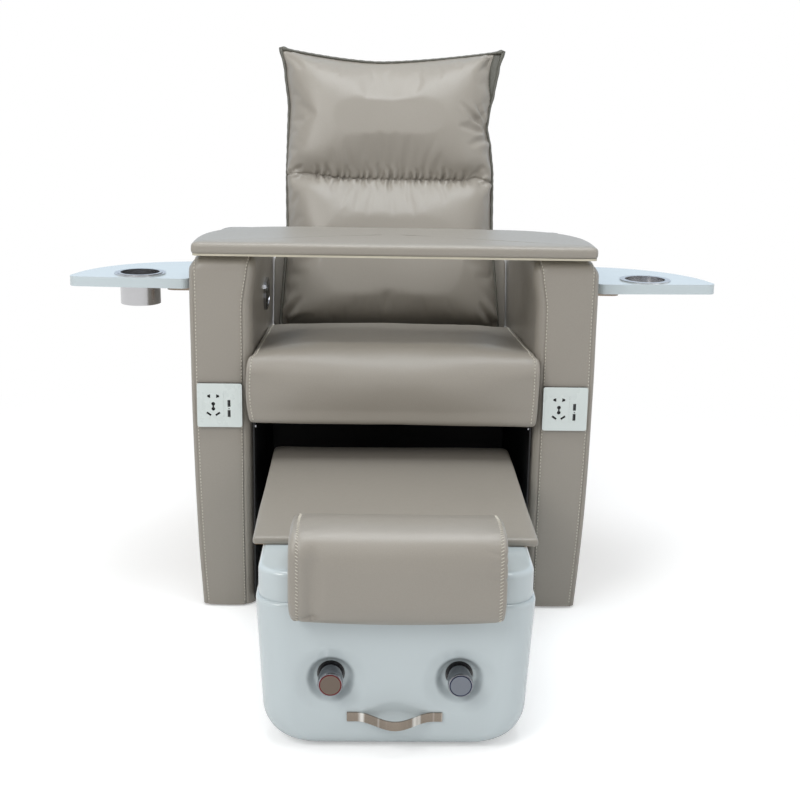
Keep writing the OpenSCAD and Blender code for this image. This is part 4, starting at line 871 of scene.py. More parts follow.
# Creases run from where the side is tied down, and at the lower corners: two ends, width and depth
creased = [((0.214, 0.494), (0.150, 0.540), 0.0055, 0.0042),
           ((0.213, 0.488), (0.163, 0.520), 0.0048, 0.0038),
           ((0.214, 0.480), (0.150, 0.486), 0.0065, 0.0034),
           ((0.218, 0.468), (0.170, 0.440), 0.0070, 0.0030),
           ((0.216, 0.500), (0.185, 0.556), 0.0050, 0.0032),
           ((-0.232, 0.380), (-0.200, 0.392), 0.0050, 0.0026),
           ((0.224, 0.368), (0.196, 0.352), 0.0050, 0.0026),
           ((-0.243, 0.038), (-0.200, 0.094), 0.0075, 0.0075),
           ((-0.240, 0.034), (-0.170, 0.052), 0.0065, 0.0060),
           ((0.238, 0.038), (0.200, 0.086), 0.0070, 0.0065),
           ((-0.245, 0.655), (-0.200, 0.610), 0.0075, 0.0026),
           ((0.226, 0.650), (0.190, 0.605), 0.0080, 0.0026)]
points, normals = read_points(back)
places = on_back(points)
front_side = places[:, 1] < welt_depth - 0.006
drop = np.zeros(len(points))
x, h = places[:, 0], places[:, 2]
above = h - np.array([back_seam(v) for v in x])
wander = 0.0016 * np.sin(above * 170.0)
for k, (gx, up, up_depth, down, down_depth) in enumerate(gathers):
    lean_out = 0.16 * math.sin(2.1 * k) * abs(above)
    for way, reach, depth in ((1, up, up_depth), (-1, down, down_depth)):
        along = np.clip(way * above / reach, 0, 1)
        fade = np.where(way * above > 0, np.minimum(1.0, along / 0.06) * (1 - along) ** 1.3, 0.0)
        width = 0.0034 + 0.0020 * along
        offset = (x - gx - wander - lean_out) / width
        drop += depth * fade * (np.exp(-offset ** 2) - 0.55 * np.exp(-(abs(offset) - 2.0) ** 2))
for (ax, ah), (bx, bh), width, depth in creased:
    length = math.hypot(bx - ax, bh - ah)
    ux, uh = (bx - ax) / length, (bh - ah) / length
    along = ((x - ax) * ux + (h - ah) * uh) / length
    off = (x - ax) * uh - (h - ah) * ux + 0.10 * length * np.sin(np.pi * np.clip(along, 0, 1)) * 0.3
    fade = np.clip(1 - along, 0, 1) ** 0.8 * np.clip((along + 0.12) / 0.12, 0, 1)
    beside = np.exp(-((abs(off) / width) - 1.9) ** 2)
    drop += 1.5 * depth * fade * (np.exp(-(off / width) ** 2) - 0.6 * beside)
drop += 0.0034 * np.exp(-(above / 0.0022) ** 2)
write_points(back, points - normals * (drop * front_side)[:, None])
# Beside the right edge the front panel stops short, and the pillow's side there is painted dark as shade
back.data.materials.append(welt_and_shaded_side_hide)
for face in back.data.polygons:
    x, depth, h = on_back(np.array([face.center]))[0]
    painted_shade_width = 0.019 * eased(0, 1, (h - 0.525) / 0.10)
    if h > 0.50 and soft_line(right_edge, h) - x < painted_shade_width and depth < back_rear_depth:
        face.material_index = 1
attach(back, "backrest")
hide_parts("back_cushion")


def cord_round(name, path, radius, material, swell):
    """A closed round cord along a path."""
    sides = 8
    path = np.array(path, float)
    count = len(path)
    rings = []
    for i in range(count):
        along = Vector(path[(i + 1) % count] - path[i - 1]).normalized()
        side = along.cross(Vector((0, math.cos(lean), -math.sin(lean)))).normalized()
        up = side.cross(along)
        r = radius * swell(i)
        turns = [2 * math.pi * s / sides for s in range(sides)]
        rings.append([Vector(path[i]) + (side * math.cos(a) + up * math.sin(a)) * r for a in turns])
    points = [p for ring in rings for p in ring]
    faces = grid_faces(count, sides, True)
    faces += [((count - 1) * sides + s, (count - 1) * sides + (s + 1) % sides, (s + 1) % sides, s)
              for s in range(sides)]
    return piece_from(name, points, faces, material)


# The welt lies in the seam and stands out a little; it doubles over at the two ears
welt_loop = welt_line * 1.0
for i, (x0, _, h0) in enumerate(welt_line):
    outward = np.array([x0, 0.0, h0 - 0.36]) / math.hypot(x0, h0 - 0.36)
    welt_loop[i] = np.array([x0, welt_depth - 0.001, h0]) + outward * 0.0016
welt_path = [leaning(*p) for p in welt_loop]


def ear_swell(i):
    """The cord is thicker where it turns round an ear."""
    x0, _, h0 = welt_loop[i]
    round_ear = math.exp(-((abs(x0) - 0.252) / 0.010) ** 2 - ((h0 - 0.672) / 0.012) ** 2)
    return 1.0 + 0.9 * round_ear + 0.10 * math.sin(i * 1.7)


welt = cord_round("back_welt", welt_path, welt_r, welt_and_shaded_side_hide, ear_swell)
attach(welt, "backrest")


# Backrest shell
# The padded board behind the pillow, in the same leather. Its foot is wide, to close the space between
# the arms, and bevelled to clear the frame; above the arms it narrows to hide behind the pillow.
shell_front, shell_rear = 0.0155, 0.0520
shell_foot, shell_head = 0.0360, 0.6560
shell_wide, shell_narrow = 0.2680, 0.2240
shell_waist, shell_taper = 0.185, 0.078
shell_foot_r, shell_head_r, shell_lip = 0.006, 0.040, 0.004
bevel_depth, bevel_slope = 0.034, 0.53


def shell_ring(s, drawn):
    """The shell's section at a height, drawn in at its ends."""
    narrowed = (s - shell_waist) / shell_taper
    half = eased(shell_wide, shell_narrow, narrowed)
    if s < shell_foot + shell_foot_r:
        half -= shell_foot_r - math.sqrt(max(0.0, shell_foot_r ** 2 - (shell_foot + shell_foot_r - s) ** 2))
    if s > shell_head - shell_head_r:
        half -= shell_head_r - math.sqrt(max(0.0, shell_head_r ** 2 - (s - shell_head + shell_head_r) ** 2))
    half -= drawn
    front = shell_front + drawn * 0.5
    rear = min(shell_rear, bevel_depth + bevel_slope * (s - shell_foot)) - drawn
    r = eased(0.006, 0.014, narrowed) * (1 - drawn / 0.03)
    section = arc_points(half - r, rear - r, r, 0, 90, 5)
    section += [(x, rear) for x in np.linspace(half - r, r - half, 25)[1:-1]]
    section += arc_points(r - half, rear - r, r, 90, 180, 5)
    section += arc_points(shell_lip - half, front + shell_lip, shell_lip, 180, 270, 3)
    section += [(x, front) for x in np.linspace(shell_lip - half, half - shell_lip, 27)[1:-1]]
    section += arc_points(half - shell_lip, front + shell_lip, shell_lip, 270, 360, 3)
    return [leaning(x, depth, s) for x, depth in section]


shell_rings = [shell_ring(shell_foot + s, drawn) for s, drawn in (
    (0.0, 0.005), (0.0, 0.0035), (0.0005, 0.002), (0.0016, 0.0008), (0.004, 0.0))]
shell_rings += [shell_ring(s, 0.0) for s in np.linspace(shell_foot + 0.009, shell_head - 0.014, 60)]
shell_rings += [shell_ring(shell_head - s, drawn) for s, drawn in (
    (0.009, 0.0), (0.004, 0.002), (0.0012, 0.005), (0.0, 0.009), (0.0, 0.013))]
shell = skin_over("backrest_shell_leather", shell_rings, taupe_hide)
rumple(shell, 0.0010, 0.15, 8.0)
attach(shell, "backrest")
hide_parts("backrest_shell")
for side, x in (("left", -0.205), ("right", 0.205)):
    stitches(f"shell_{side}_stitches", [leaning(x, shell_rear, s) for s in np.linspace(0.085, 0.630, 60)],
             "backrest", shell)


# Lap board
# A padded writing board laid over both arms. Its leather is pulled over the edge and pinned under
# it, over a thin cream bead.
board_low, board_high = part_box("board_pad")
board_half_width = board_high.x
board_foot = board_low.z
board_rise = board_high.z - board_low.z
board_corner_power, board_back_power = 6, 3
board_edge = ((0.030, 0.0), (0.012, 0.0), (0.004, 0.0), (0.0015, 0.0008), (0.0002, 0.0035), (0.0, 0.0075),
              (0.0, 0.012), (0.0004, 0.0155), (0.0024, 0.0185), (0.0060, 0.0206), (0.011, 0.0217),
              (0.020, 0.0224))


def board_outline(inset):
    """The board's outline, drawn in all round by an inset. Its rear corners are wide and soft."""
    turns = np.linspace(0.0, math.pi / 2, 600)
    across = (board_half_width - inset) * np.cos(turns).clip(0.0) ** (2 / board_corner_power)
    share = np.sin(turns) ** (2 / board_back_power)
    deep = (board_high.y - inset) * share + arm_low.y * (1 - share)
    walked = np.concatenate([[0.0], np.cumsum(np.hypot(np.diff(across), np.diff(deep)))])
    marks = np.linspace(0.0, walked[-1], 42)
    half = list(zip(np.interp(marks, walked, across), np.interp(marks, walked, deep)))
    r = 0.010 - inset / 2
    y0 = board_low.y + inset
    x1 = board_half_width - inset - r
    right_corner = arc_points(x1, y0 + r, r, -90, 0, 6)
    left_corner = arc_points(-x1, y0 + r, r, 180, 270, 6)
    front_edge = [(x, y0) for x in np.linspace(-x1, x1, 61)[1:-1]]
    return right_corner + half + [(-x, y) for x, y in reversed(half[:-1])] + left_corner + front_edge


board_rings = [[(x, y, board_foot + rise * board_rise / 0.022) for x, y in board_outline(inset)]
               for inset, rise in board_edge]
board_centre_y = board_low.y + 0.130
for share in (0.12, 0.28, 0.45, 0.62, 0.78, 0.9, 0.985):
    board_rings.append([(x * (1 - share), y * (1 - share) + board_centre_y * share,
                         board_foot + board_rise + 0.0004 + 0.0022 * (1 - (1 - share) ** 2))
                        for x, y in board_outline(board_edge[-1][0])])
board = skin_over("lap_board_leather", board_rings, taupe_hide)
rumple(board, 0.0009, 0.10, 7.0)
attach(board, "lap_board")
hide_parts("board_pad")


# Basin lid
# A board wrapped in leather that closes the tub when it is not in use. Its rear corners are folded
# round, its front ones square.
lid_low, lid_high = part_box("lid_cover")
lid_rise = lid_high.z - lid_low.z
lid_edge = ((0.035, 0.0), (0.012, 0.0), (0.003, 0.0), (0.0010, 0.0012), (0.0, 0.0034), (0.0, 0.0075),
            (0.0006, 0.0108), (0.0024, 0.0130), (0.0055, 0.0140), (0.0115, 0.0145))


def rounded_plan(x0, x1, y0, y1, front_r, rear_r, sides=(24, 24, 24, 24)):
    """Points round a rectangle with round corners, as many on every call, so that its rings match."""
    corners = ((x1 - rear_r, y1 - rear_r, rear_r, 0), (x0 + rear_r, y1 - rear_r, rear_r, 90),
               (x0 + front_r, y0 + front_r, front_r, 180), (x1 - front_r, y0 + front_r, front_r, 270))
    points = []
    for k, (cx, cy, radius, start) in enumerate(corners):
        points += arc_points(cx, cy, radius, start, start + 90, 8)
        nx, ny, nr, ns = corners[(k + 1) % 4]
        first, last = arc_points(nx, ny, nr, ns, ns + 90, 1)[0], points[-1]
        points += [(last[0] + (first[0] - last[0]) * i / sides[k],
                    last[1] + (first[1] - last[1]) * i / sides[k]) for i in range(1, sides[k])]
    return points


lid_rings = []
for inset, rise in lid_edge:
    lid_rings.append([(x, y, lid_low.z + rise * lid_rise / 0.014) for x, y in rounded_plan(
        lid_low.x + inset, lid_high.x - inset, lid_low.y + inset, lid_high.y - inset,
        max(0.002, 0.006 - inset), max(0.004, 0.018 - inset))])
lid_inner = lid_rings[-1]
lid_middle_y = (lid_low.y + lid_high.y) / 2
for share in (0.08, 0.2, 0.36, 0.54, 0.72, 0.9, 0.985):
    lid_rings.append([(x * (1 - share), y * (1 - share) + lid_middle_y * share,
                       z + 0.0022 * (1 - (1 - share) ** 3)) for x, y, z in lid_inner])
lid = skin_over("lid_leather", lid_rings, taupe_hide)
rumple(lid, 0.0013, 0.13, 4.0)
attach(lid, "basin_lid")
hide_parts("lid_cover")


# Footrest
# A thick bolster over the basin's front wall. One panel goes round its foam, and each end panel
# is sewn to it with an overcast stitch that draws the leather into small puckers.
rest_low, rest_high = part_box("footrest_pad")
rest_front, rest_rear = rest_low.y, rest_high.y
rest_foot, rest_top = rest_low.z, rest_high.z
rest_half = rest_high.x
rest_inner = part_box("basin_casing")[0].y - 0.004
rest_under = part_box("footrest_bracket")[1].z + 0.0003
rest_core = (rest_front + 0.030, rest_top - 0.052)
rest_sag = 0.0060


def rest_profile():
    """Outline of the bolster's end, from its front bottom corner round to its front."""
    points = arc_points(rest_front + 0.021, rest_foot + 0.018, 0.018, 184, 268, 7)
    points += [(y, rest_foot) for y in np.linspace(rest_front + 0.026, rest_inner - 0.016, 3)]
    points += arc_points(rest_inner - 0.014, rest_foot + 0.014, 0.014, 270, 360, 6)
    points += [(rest_inner, z) for z in np.linspace(rest_foot + 0.022, rest_under - 0.012, 6)]
    points += [(rest_inner + 0.003, rest_under - 0.003), (rest_inner + 0.009, rest_under)]
    points += [(y, rest_under) for y in np.linspace(rest_inner + 0.018, rest_rear - 0.018, 9)]
    points += arc_points(rest_rear - 0.016, rest_under + 0.016, 0.016, 270, 360, 7)
    rear_top = rest_top - 0.012
    points += arc_points(rest_rear - 0.022, rear_top - 0.022, 0.022, 0, 78, 7)
    span = (rest_rear - rest_front) - 0.066
    for i in range(1, 10):
        t = i / 10
        points.append((rest_rear - 0.024 - span * t, rear_top + 0.010 * t + 0.005 * math.sin(math.pi * t)))
    points += arc_points(rest_front + 0.041, rest_top - 0.042, 0.040, 90, 176, 10)
    points += [(rest_front + 0.0010, z) for z in np.linspace(rest_top - 0.052, rest_foot + 0.030, 13)]
    return points


rest_outline = np.array(rest_profile())
rest_steps = np.concatenate([[0.0], np.cumsum(np.linalg.norm(np.diff(rest_outline, axis=0), axis=1))])
# Each end: distance from the end, size against the middle outline, and how much the puckers show
rest_end_left = ((0.0010, 0.06, 0), (0.0002, 0.25, 0), (0.0, 0.5, 0), (0.0006, 0.72, 0),
                 (0.0022, 0.86, 0.2), (0.0050, 0.945, 0.6), (0.0085, 0.985, 1.0), (0.0118, 0.992, 1.0),
                 (0.0140, 0.978, 0.6), (0.0152, 0.966, 0.3), (0.0164, 0.972, 0.6), (0.0190, 0.988, 1.0),
                 (0.0240, 0.997, 0.6), (0.032, 1.0, 0.2), (0.045, 1.0, 0))
rest_end_right = ((0.0006, 0.06, 0), (0.0, 0.25, 0), (0.0, 0.5, 0), (0.0003, 0.75, 0), (0.0014, 0.88, 0.2),
                  (0.0032, 0.950, 0.6), (0.0055, 0.978, 1.0), (0.0072, 0.975, 0.6), (0.0082, 0.968, 0.3),
                  (0.0094, 0.974, 0.6), (0.0116, 0.988, 1.0), (0.0160, 0.997, 0.8), (0.024, 1.0, 0.3),
                  (0.032, 1.0, 0), (0.045, 1.0, 0))


def rest_ring(x, size, pucker, phase):
    """One ring of the bolster."""
    ring = []
    sag = rest_sag * (1 - (x / rest_half) ** 2)
    for (y, z), s in zip(rest_outline, rest_steps):
        k = size + 0.018 * pucker * math.sin(2 * math.pi * s / 0.0135 + phase + 1.5 * math.sin(s * 31.0))
        py = rest_core[0] + (y - rest_core[0]) * k
        pz = rest_core[1] + (z - rest_core[1]) * k
        if y < rest_inner + 0.001:
            pz -= sag * min(1.0, max(0.0, (rest_foot + 0.10 - z) / 0.08))
        ring.append((x, py, pz))
    return ring


rest_rings = [rest_ring(-rest_half + d, k, p, 0.0) for d, k, p in rest_end_left]
rest_rings += [rest_ring(x, 1.0, 0.0, 0.0) for x in np.linspace(-rest_half + 0.054, rest_half - 0.054, 24)]
rest_rings += [rest_ring(rest_half - d, k, p, 1.0) for d, k, p in reversed(rest_end_right)]
rest = skin_over("footrest_leather", rest_rings, taupe_hide, False)
rest_points, _ = read_points(rest)
rest_free = (abs(rest_points[:, 0]) < rest_half - 0.020) & (rest_points[:, 1] < rest_rear - 0.012)
rest_free &= (rest_points[:, 1] < rest_inner - 0.020) | (rest_points[:, 2] > rest_under + 0.030)
puffed(rest, ~rest_free, 4.0, 0.006)
smooth_out(rest)
welded(rest, 0.00002)
rumple(rest, 0.0018, 0.10, 6.0)
points, normals = read_points(rest)
# A soft dent down the front near the left end, and short creases by the upper right seam
in_front = (points[:, 1] < rest_inner - 0.010) & (points[:, 2] > rest_foot + 0.006)
reach_down = np.clip((rest_top - 0.015 - points[:, 2]) / 0.03, 0, 1)
from_dent = points[:, 0] + rest_half - 0.036 - 0.03 * (points[:, 2] - rest_foot)
dent = 0.0075 * np.exp(-(from_dent / 0.011) ** 2) * reach_down
for z0, rise in ((rest_top - 0.030, 0.25), (rest_top - 0.048, -0.1), (rest_top - 0.070, 0.1)):
    off = points[:, 2] - z0 - rise * (rest_half - 0.012 - points[:, 0])
    near_seam = np.clip((points[:, 0] - rest_half + 0.040) / 0.026, 0, 1)
    dent += 0.0016 * np.exp(-(off / 0.0035) ** 2) * near_seam
write_points(rest, points - normals * (dent * in_front)[:, None])
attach(rest, "footrest")
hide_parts("footrest_pad")
for side, ends, sign in (("left", rest_end_left, -1), ("right", rest_end_right, 1)):
    near, far = ends[-7][0] - 0.0016, ends[-5][0] + 0.0006
    over_top = slice(-34 - len(rest_outline), 8 - len(rest_outline))
    outer, inner = [evened((rest_ring(sign * (rest_half - d), 1.0, 0, 0) * 2)[over_top], 0.0056)
                    for d in (near, far)]
    count = min(len(outer), len(inner))
    runs = []
    for k in range(count - 1):
        runs.append((outer[k], inner[k] * 0.5 + inner[k + 1] * 0.5))
    sewn(f"footrest_{side}_overcast", runs, "footrest", rest, 0.0007)


# Foot basin
# A wheeled basin moulded in glossy pale plastic: a tall casing with a dished pocket round each tap,
# and over its shoulder the deck with the deep tub that hangs in it.
casing_low, casing_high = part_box("basin_casing")
casing_front, casing_rear = casing_low.y, casing_high.y
casing_wide, casing_narrow = 0.223, 0.213
casing_foot, casing_side_r, casing_edge_r = 0.006, 0.060, 0.020
casing_shoulder, shoulder_round, casing_wall = 0.250, 0.006, 0.005
casing_corner_front, casing_corner_rear = 0.048, 0.024
tap_x, pocket_z = 0.102, 0.121
pocket_dish, pocket_flare = 0.0145, 0.0035
casing_sides = (40, 30, 150, 30)


def edge_round(radius, turns):
    """How far in and how far down a rounded edge lies, at each of these turns in degrees."""
    return [(radius * (1 - math.cos(math.radians(t))), radius * (1 - math.sin(math.radians(t))))
            for t in turns]


def casing_ring(z, inset=0.0):
    """The casing's outline at a height, drawn in by an inset."""
    if z < casing_foot + casing_side_r:
        dip = (casing_foot + casing_side_r - z) / casing_side_r
        half = casing_narrow - casing_side_r + casing_side_r * math.sqrt(max(0.0, 1 - dip * dip))
    else:
        upright = casing_shoulder - shoulder_round - casing_foot - casing_side_r
        share = (z - casing_foot - casing_side_r) / upright
        half = casing_narrow + (casing_wide - casing_narrow) * min(1.0, share)
    tuck = 0.0
    if z < casing_foot + casing_edge_r:
        dip = (casing_foot + casing_edge_r - z) / casing_edge_r
        tuck = casing_edge_r * (1 - math.sqrt(max(0.0, 1 - dip * dip)))
    ring = []
    for x, y in rounded_plan(-half + inset, half - inset, casing_front + tuck + inset,
                             casing_rear - tuck - inset, casing_corner_front - inset,
                             casing_corner_rear - inset, casing_sides):
        if y < casing_front + 0.03:
            away = math.hypot(abs(x) - tap_x, z - pocket_z)
            y += pocket_dish * eased(1.0, 0.0, (away - 0.026) / 0.014)
            y += pocket_flare * eased(1.0, 0.0, (away - 0.038) / 0.024)
        ring.append((x, y, z))
    return ring


def drawn_in(ring, inset, z):
    """A ring set in by an amount, at another height."""
    middle = (casing_front + casing_rear) / 2
    return [(x - math.copysign(min(inset, abs(x)), x), y - math.copysign(inset, y - middle), z)
            for x, y, _ in ring]


low_ring = casing_ring(casing_foot + 0.0002)
casing_rings = [drawn_in(low_ring, 0.016, casing_foot), drawn_in(low_ring, 0.0155, casing_foot),
                drawn_in(low_ring, 0.008, casing_foot), low_ring]
casing_rings += [casing_ring(casing_foot + h)
                 for h in (0.0012, 0.003, 0.006, 0.010, 0.0145, 0.020, 0.026, 0.033, 0.041, 0.049)]
casing_rings += [casing_ring(z) for z in np.arange(0.062, 0.186, 0.0031)]
casing_rings += [casing_ring(z) for z in (0.196, 0.208, 0.220, 0.232, 0.240, 0.244)]
top_ring = casing_ring(casing_shoulder - shoulder_round)
casing_rings += [drawn_in(top_ring, inward, casing_shoulder - lower)
                 for inward, lower in edge_round(shoulder_round, (22, 45, 68, 90))]
casing_rings.append(drawn_in(top_ring, 0.0085, casing_shoulder))
casing_rings.append(drawn_in(top_ring, 0.0105, casing_shoulder - 0.003))
casing_rings += [casing_ring(z, casing_wall) for z in (0.236, 0.215, 0.195)]
casing_rings += [casing_ring(z, casing_wall) for z in np.arange(0.182, 0.064, -0.0093)]
casing_rings += [casing_ring(casing_foot + h, casing_wall) for h in (0.049, 0.036, 0.024, 0.014, 0.008)]
casing_rings.append(drawn_in(low_ring, 0.0155, casing_foot + casing_wall))
casing_rings.append(drawn_in(low_ring, 0.016, casing_foot + casing_wall))


def looped_skin(name, rings, material):
    """A closed wall whose last ring joins its first."""
    rings = np.array(rings + rings[:1], float)
    made = piece_from(name, rings.reshape(-1, 3), grid_faces(len(rings), rings.shape[1], True), material)
    welded(made, 0.00005)
    smooth_out(made)
    return made


# Fine effect of moulded gloss plastic: slow waviness and a faint haze of wiping
gloss_wave, wave_in = effect_group("moulded_gloss", Colour=(0.8, 0.8, 0.8, 1.0), Shine=0.12)
wave_slow = noise(gloss_wave, wave_in["Place"], 28.0, 1.0)
wave_haze = noise(gloss_wave, wave_in["Place"], 9.0, 5.0, 0.65)
haze_spread = maths(gloss_wave, "MULTIPLY_ADD", wave_haze, 0.1, -0.05)
haze_tone = maths(gloss_wave, "MULTIPLY_ADD", wave_haze, 0.05, 0.975)
effect_given(gloss_wave, wave_in, haze_tone, haze_spread, wave_slow)


basin_gloss = finish_from("basin_gloss", gloss_wave, 0.0006, 0.2,
                          {"Coat_Weight": 0.5, "Coat_Roughness": 0.05}, Colour=srgb(193, 203, 206),
                          Shine=0.14)
casing = looped_skin("basin_casing_moulding", casing_rings, basin_gloss)
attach(casing, "foot_basin")
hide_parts("basin_casing")

# The deck and the tub: one wall from the deck's foot over its edge, down the tub and back beneath
deck_top, deck_round, deck_set, deck_wall = 0.300, 0.009, 0.004, 0.005
deck_foot = casing_shoulder - 0.004
tub_half, tub_front, tub_rear = 0.172, casing_front + 0.161, casing_rear - 0.025
tub_floor, tub_side_r, tub_corner, tub_shell = 0.100, 0.055, 0.050, 0.004
drain_spot = Vector((0.0, casing_rear - 0.135, tub_floor))
drain_hole = 0.0202
tub_sides = (40, 40, 40, 40)


def deck_ring(inset, z):
    """The deck's outline."""
    set_in = deck_set + inset
    return [(x, y, z) for x, y in rounded_plan(
        set_in - casing_wide, casing_wide - set_in, casing_front + set_in, casing_rear - set_in,
        casing_corner_front - inset, 0.022 - inset, tub_sides)]


def tub_ring(inset, z):
    """The tub's outline, drawn in by an inset."""
    radius = max(0.012, tub_corner - inset * 0.6)
    return [(x, y, z) for x, y in rounded_plan(-tub_half + inset, tub_half - inset, tub_front + inset,
                                               tub_rear - inset, radius, radius, tub_sides)]


def tub_wall(shell):
    """Rings from the tub's mouth to its floor, for the inner face or set out by the shell's thickness."""
    rings = [tub_ring(-shell, z) for z in (0.285, 0.262, 0.235, 0.205, 0.178)]
    radius = tub_side_r + shell
    for turn in range(0, 91, 10):
        a = math.radians(turn)
        rings.append(tub_ring(-shell + radius * (1 - math.cos(a)),
                              tub_floor + tub_side_r - radius * math.sin(a)))
    return rings


def drain_ring(radius, z, like):
    """A ring round the drain, each point in the direction of its fellow on the floor."""
    made = []
    for x, y, _ in like:
        away = math.hypot(x - drain_spot.x, y - drain_spot.y)
        made.append((drain_spot.x + (x - drain_spot.x) * radius / away,
                     drain_spot.y + (y - drain_spot.y) * radius / away, z))
    return made


floor_ring = tub_ring(tub_side_r, tub_floor)
tub_rings = [deck_ring(0.0, deck_foot), deck_ring(0.0, 0.262), deck_ring(0.0, 0.276), deck_ring(0.0, 0.288)]
tub_rings += [deck_ring(inward, deck_top - lower)
              for inward, lower in edge_round(deck_round, (0, 22, 45, 68, 90))]
tub_rings.append(deck_ring(0.018, deck_top))
tub_rings.append(tub_ring(-0.016, deck_top))
tub_rings += [tub_ring(-inward, deck_top - lower) for inward, lower in edge_round(0.005, (90, 60, 30, 0))]
tub_rings += tub_wall(0.0)
tub_rings += [drain_ring(radius, z, floor_ring) for radius, z in (
    (0.05, tub_floor), (0.03, tub_floor), (drain_hole + 0.0006, tub_floor), (drain_hole, tub_floor - 0.001),
    (drain_hole, tub_floor - tub_shell + 0.0005), (drain_hole + 0.0006, tub_floor - tub_shell),
    (0.05, tub_floor - tub_shell))]
tub_rings += tub_wall(tub_shell)[::-1]
tub_rings += [tub_ring(-0.012, deck_top - deck_wall), deck_ring(0.020, deck_top - deck_wall),
              deck_ring(0.009, deck_top - 0.008), deck_ring(deck_wall, deck_top - 0.014),
              deck_ring(deck_wall, 0.270), deck_ring(deck_wall, deck_foot),
              deck_ring(deck_wall - 0.001, deck_foot - 0.0001)]
tub = looped_skin("tub_moulding", tub_rings, basin_gloss)
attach(tub, "foot_basin")
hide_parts("basin_tub")


# Hard pieces
# Steel, paint, rubber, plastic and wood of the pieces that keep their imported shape: the lines of
# brushed steel and the tooth of powder paint are the fine effects that several of them use.
brush_lines, brush_in = effect_group("brushed_lines", Stretch=(40.0, 2400.0, 2400.0),
                                     Colour=(0.6, 0.6, 0.6, 1.0), Shine=0.3)
stretched = node(brush_lines, "VectorMath", {0: brush_in["Place"], 1: brush_in["Stretch"]},
                 operation="MULTIPLY")
hairs = noise(brush_lines, stretched, 1.0, 4.0, 0.7)
hair_spread = maths(brush_lines, "MULTIPLY_ADD", hairs, 0.22, -0.11)
hair_tone = maths(brush_lines, "MULTIPLY_ADD", hairs, 0.3, 0.85)
effect_given(brush_lines, brush_in, hair_tone, hair_spread, hairs)

powder_tooth, powder_in = effect_group("powder_tooth", Colour=(0.05, 0.05, 0.05, 1.0), Shine=0.5,
                                       Tooth_Size=0.0009)
teeth = maths(powder_tooth, "DIVIDE", 1.0, powder_in["Tooth Size"])
tooth = noise(powder_tooth, powder_in["Place"], teeth, 3.0)
scuff = noise(powder_tooth, powder_in["Place"], 14.0, 6.0, 0.7)
scuff_spread = maths(powder_tooth, "MULTIPLY_ADD", scuff, 0.24, -0.12)
scuff_tone = maths(powder_tooth, "MULTIPLY_ADD", scuff, 0.5, 0.75)
effect_given(powder_tooth, powder_in, scuff_tone, scuff_spread, tooth)


def dress(material, *names):
    """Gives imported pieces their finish."""
    for name in names:
        mesh = nodes[name].data
        mesh.materials.clear()
        mesh.materials.append(material)


def painted_shade_behind(material, colour, low):
    """Paints shade: gives another colour to the part of a material that lies behind a depth."""
    tree = material.node_tree
    shader = tree.nodes["Principled BSDF"]
    place = tree.nodes.new("ShaderNodeTexCoord").outputs["Object"]
    depth = node(tree, "SeparateXYZ", {"Vector": place}).outputs["Y"]
    share = maths(tree, "GREATER_THAN", depth, low)
    mix = node(tree, "MixRGB", {"Fac": share, "Color1": shader.inputs["Base Color"].links[0].from_socket,
                                "Color2": colour})
    put(tree, shader.inputs["Base Color"], mix)


tray_gloss = finish_from("tray_gloss", gloss_wave, 0.0004, 0.15,
                         {"Coat_Weight": 0.4, "Coat_Roughness": 0.06}, Colour=srgb(196, 207, 211),
                         Shine=0.18)
outlet_plastic = finish_from("outlet_plastic", gloss_wave, 0.0001, 0.1, {}, Colour=srgb(214, 222, 220),
                             Shine=0.28)
# Painted shade: inside the sockets' holes, behind the plate's face, the plastic is made near black
painted_shade_behind(outlet_plastic, srgb(28, 30, 32), arm_low.y - 0.0085)
port_plastic = finish_from("port_plastic", gloss_wave, 0.0001, 0.1, {}, Colour=srgb(214, 222, 220),
                           Shine=0.28)
# Painted shade: inside the ports, behind their face, the plastic is made near black
painted_shade_behind(port_plastic, srgb(40, 42, 44), arm_low.y - 0.0090)
# The tongues in the charging ports are dark too, though they end level with the face
port_tree = port_plastic.node_tree
port_shader = port_tree.nodes["Principled BSDF"]
outlet_x, outlet_z = 0.332, 0.423
port_x, port_z, port_pitch, port_margin = 0.0171, 0.016, 0.020, 0.050
tongue_half_x, tongue_half_z = 0.0011, 0.0057
port_axes = node(port_tree, "SeparateXYZ",
                 {"Vector": port_tree.nodes.new("ShaderNodeTexCoord").outputs["Object"]})
port_across = maths(port_tree, "ADD", port_axes.outputs["X"], outlet_x - port_x + port_margin)
port_turn = maths(port_tree, "FLOORED_MODULO", port_across, 2 * outlet_x)
on_tongue_x = maths(port_tree, "COMPARE", port_turn, port_margin, tongue_half_x)
port_up = maths(port_tree, "SUBTRACT", port_axes.outputs["Z"], outlet_z - port_z - port_pitch / 2)
port_step = maths(port_tree, "FLOORED_MODULO", port_up, port_pitch)
on_tongue_z = maths(port_tree, "COMPARE", port_step, port_pitch / 2, tongue_half_z)
below_top = maths(port_tree, "LESS_THAN", port_up, 2 * port_pitch)
on_tongue = maths(port_tree, "MULTIPLY", on_tongue_x, on_tongue_z)
on_tongue = maths(port_tree, "MULTIPLY", on_tongue, below_top)
port_mix = node(port_tree, "MixRGB", {"Fac": on_tongue, "Color2": srgb(62, 64, 66),
                                      "Color1": port_shader.inputs["Base Color"].links[0].from_socket})
put(port_tree, port_shader.inputs["Base Color"], port_mix)
brushed_steel = finish_from("brushed_steel", brush_lines, 0.0001, 0.15, {"Metallic": 1.0},
                            Colour=srgb(140, 128, 116), Shine=0.20)
turned_steel = finish_from("turned_steel", brush_lines, 0.0001, 0.12, {"Metallic": 1.0},
                           Colour=srgb(200, 200, 202), Shine=0.24, Stretch=(180.0, 180.0, 2600.0))
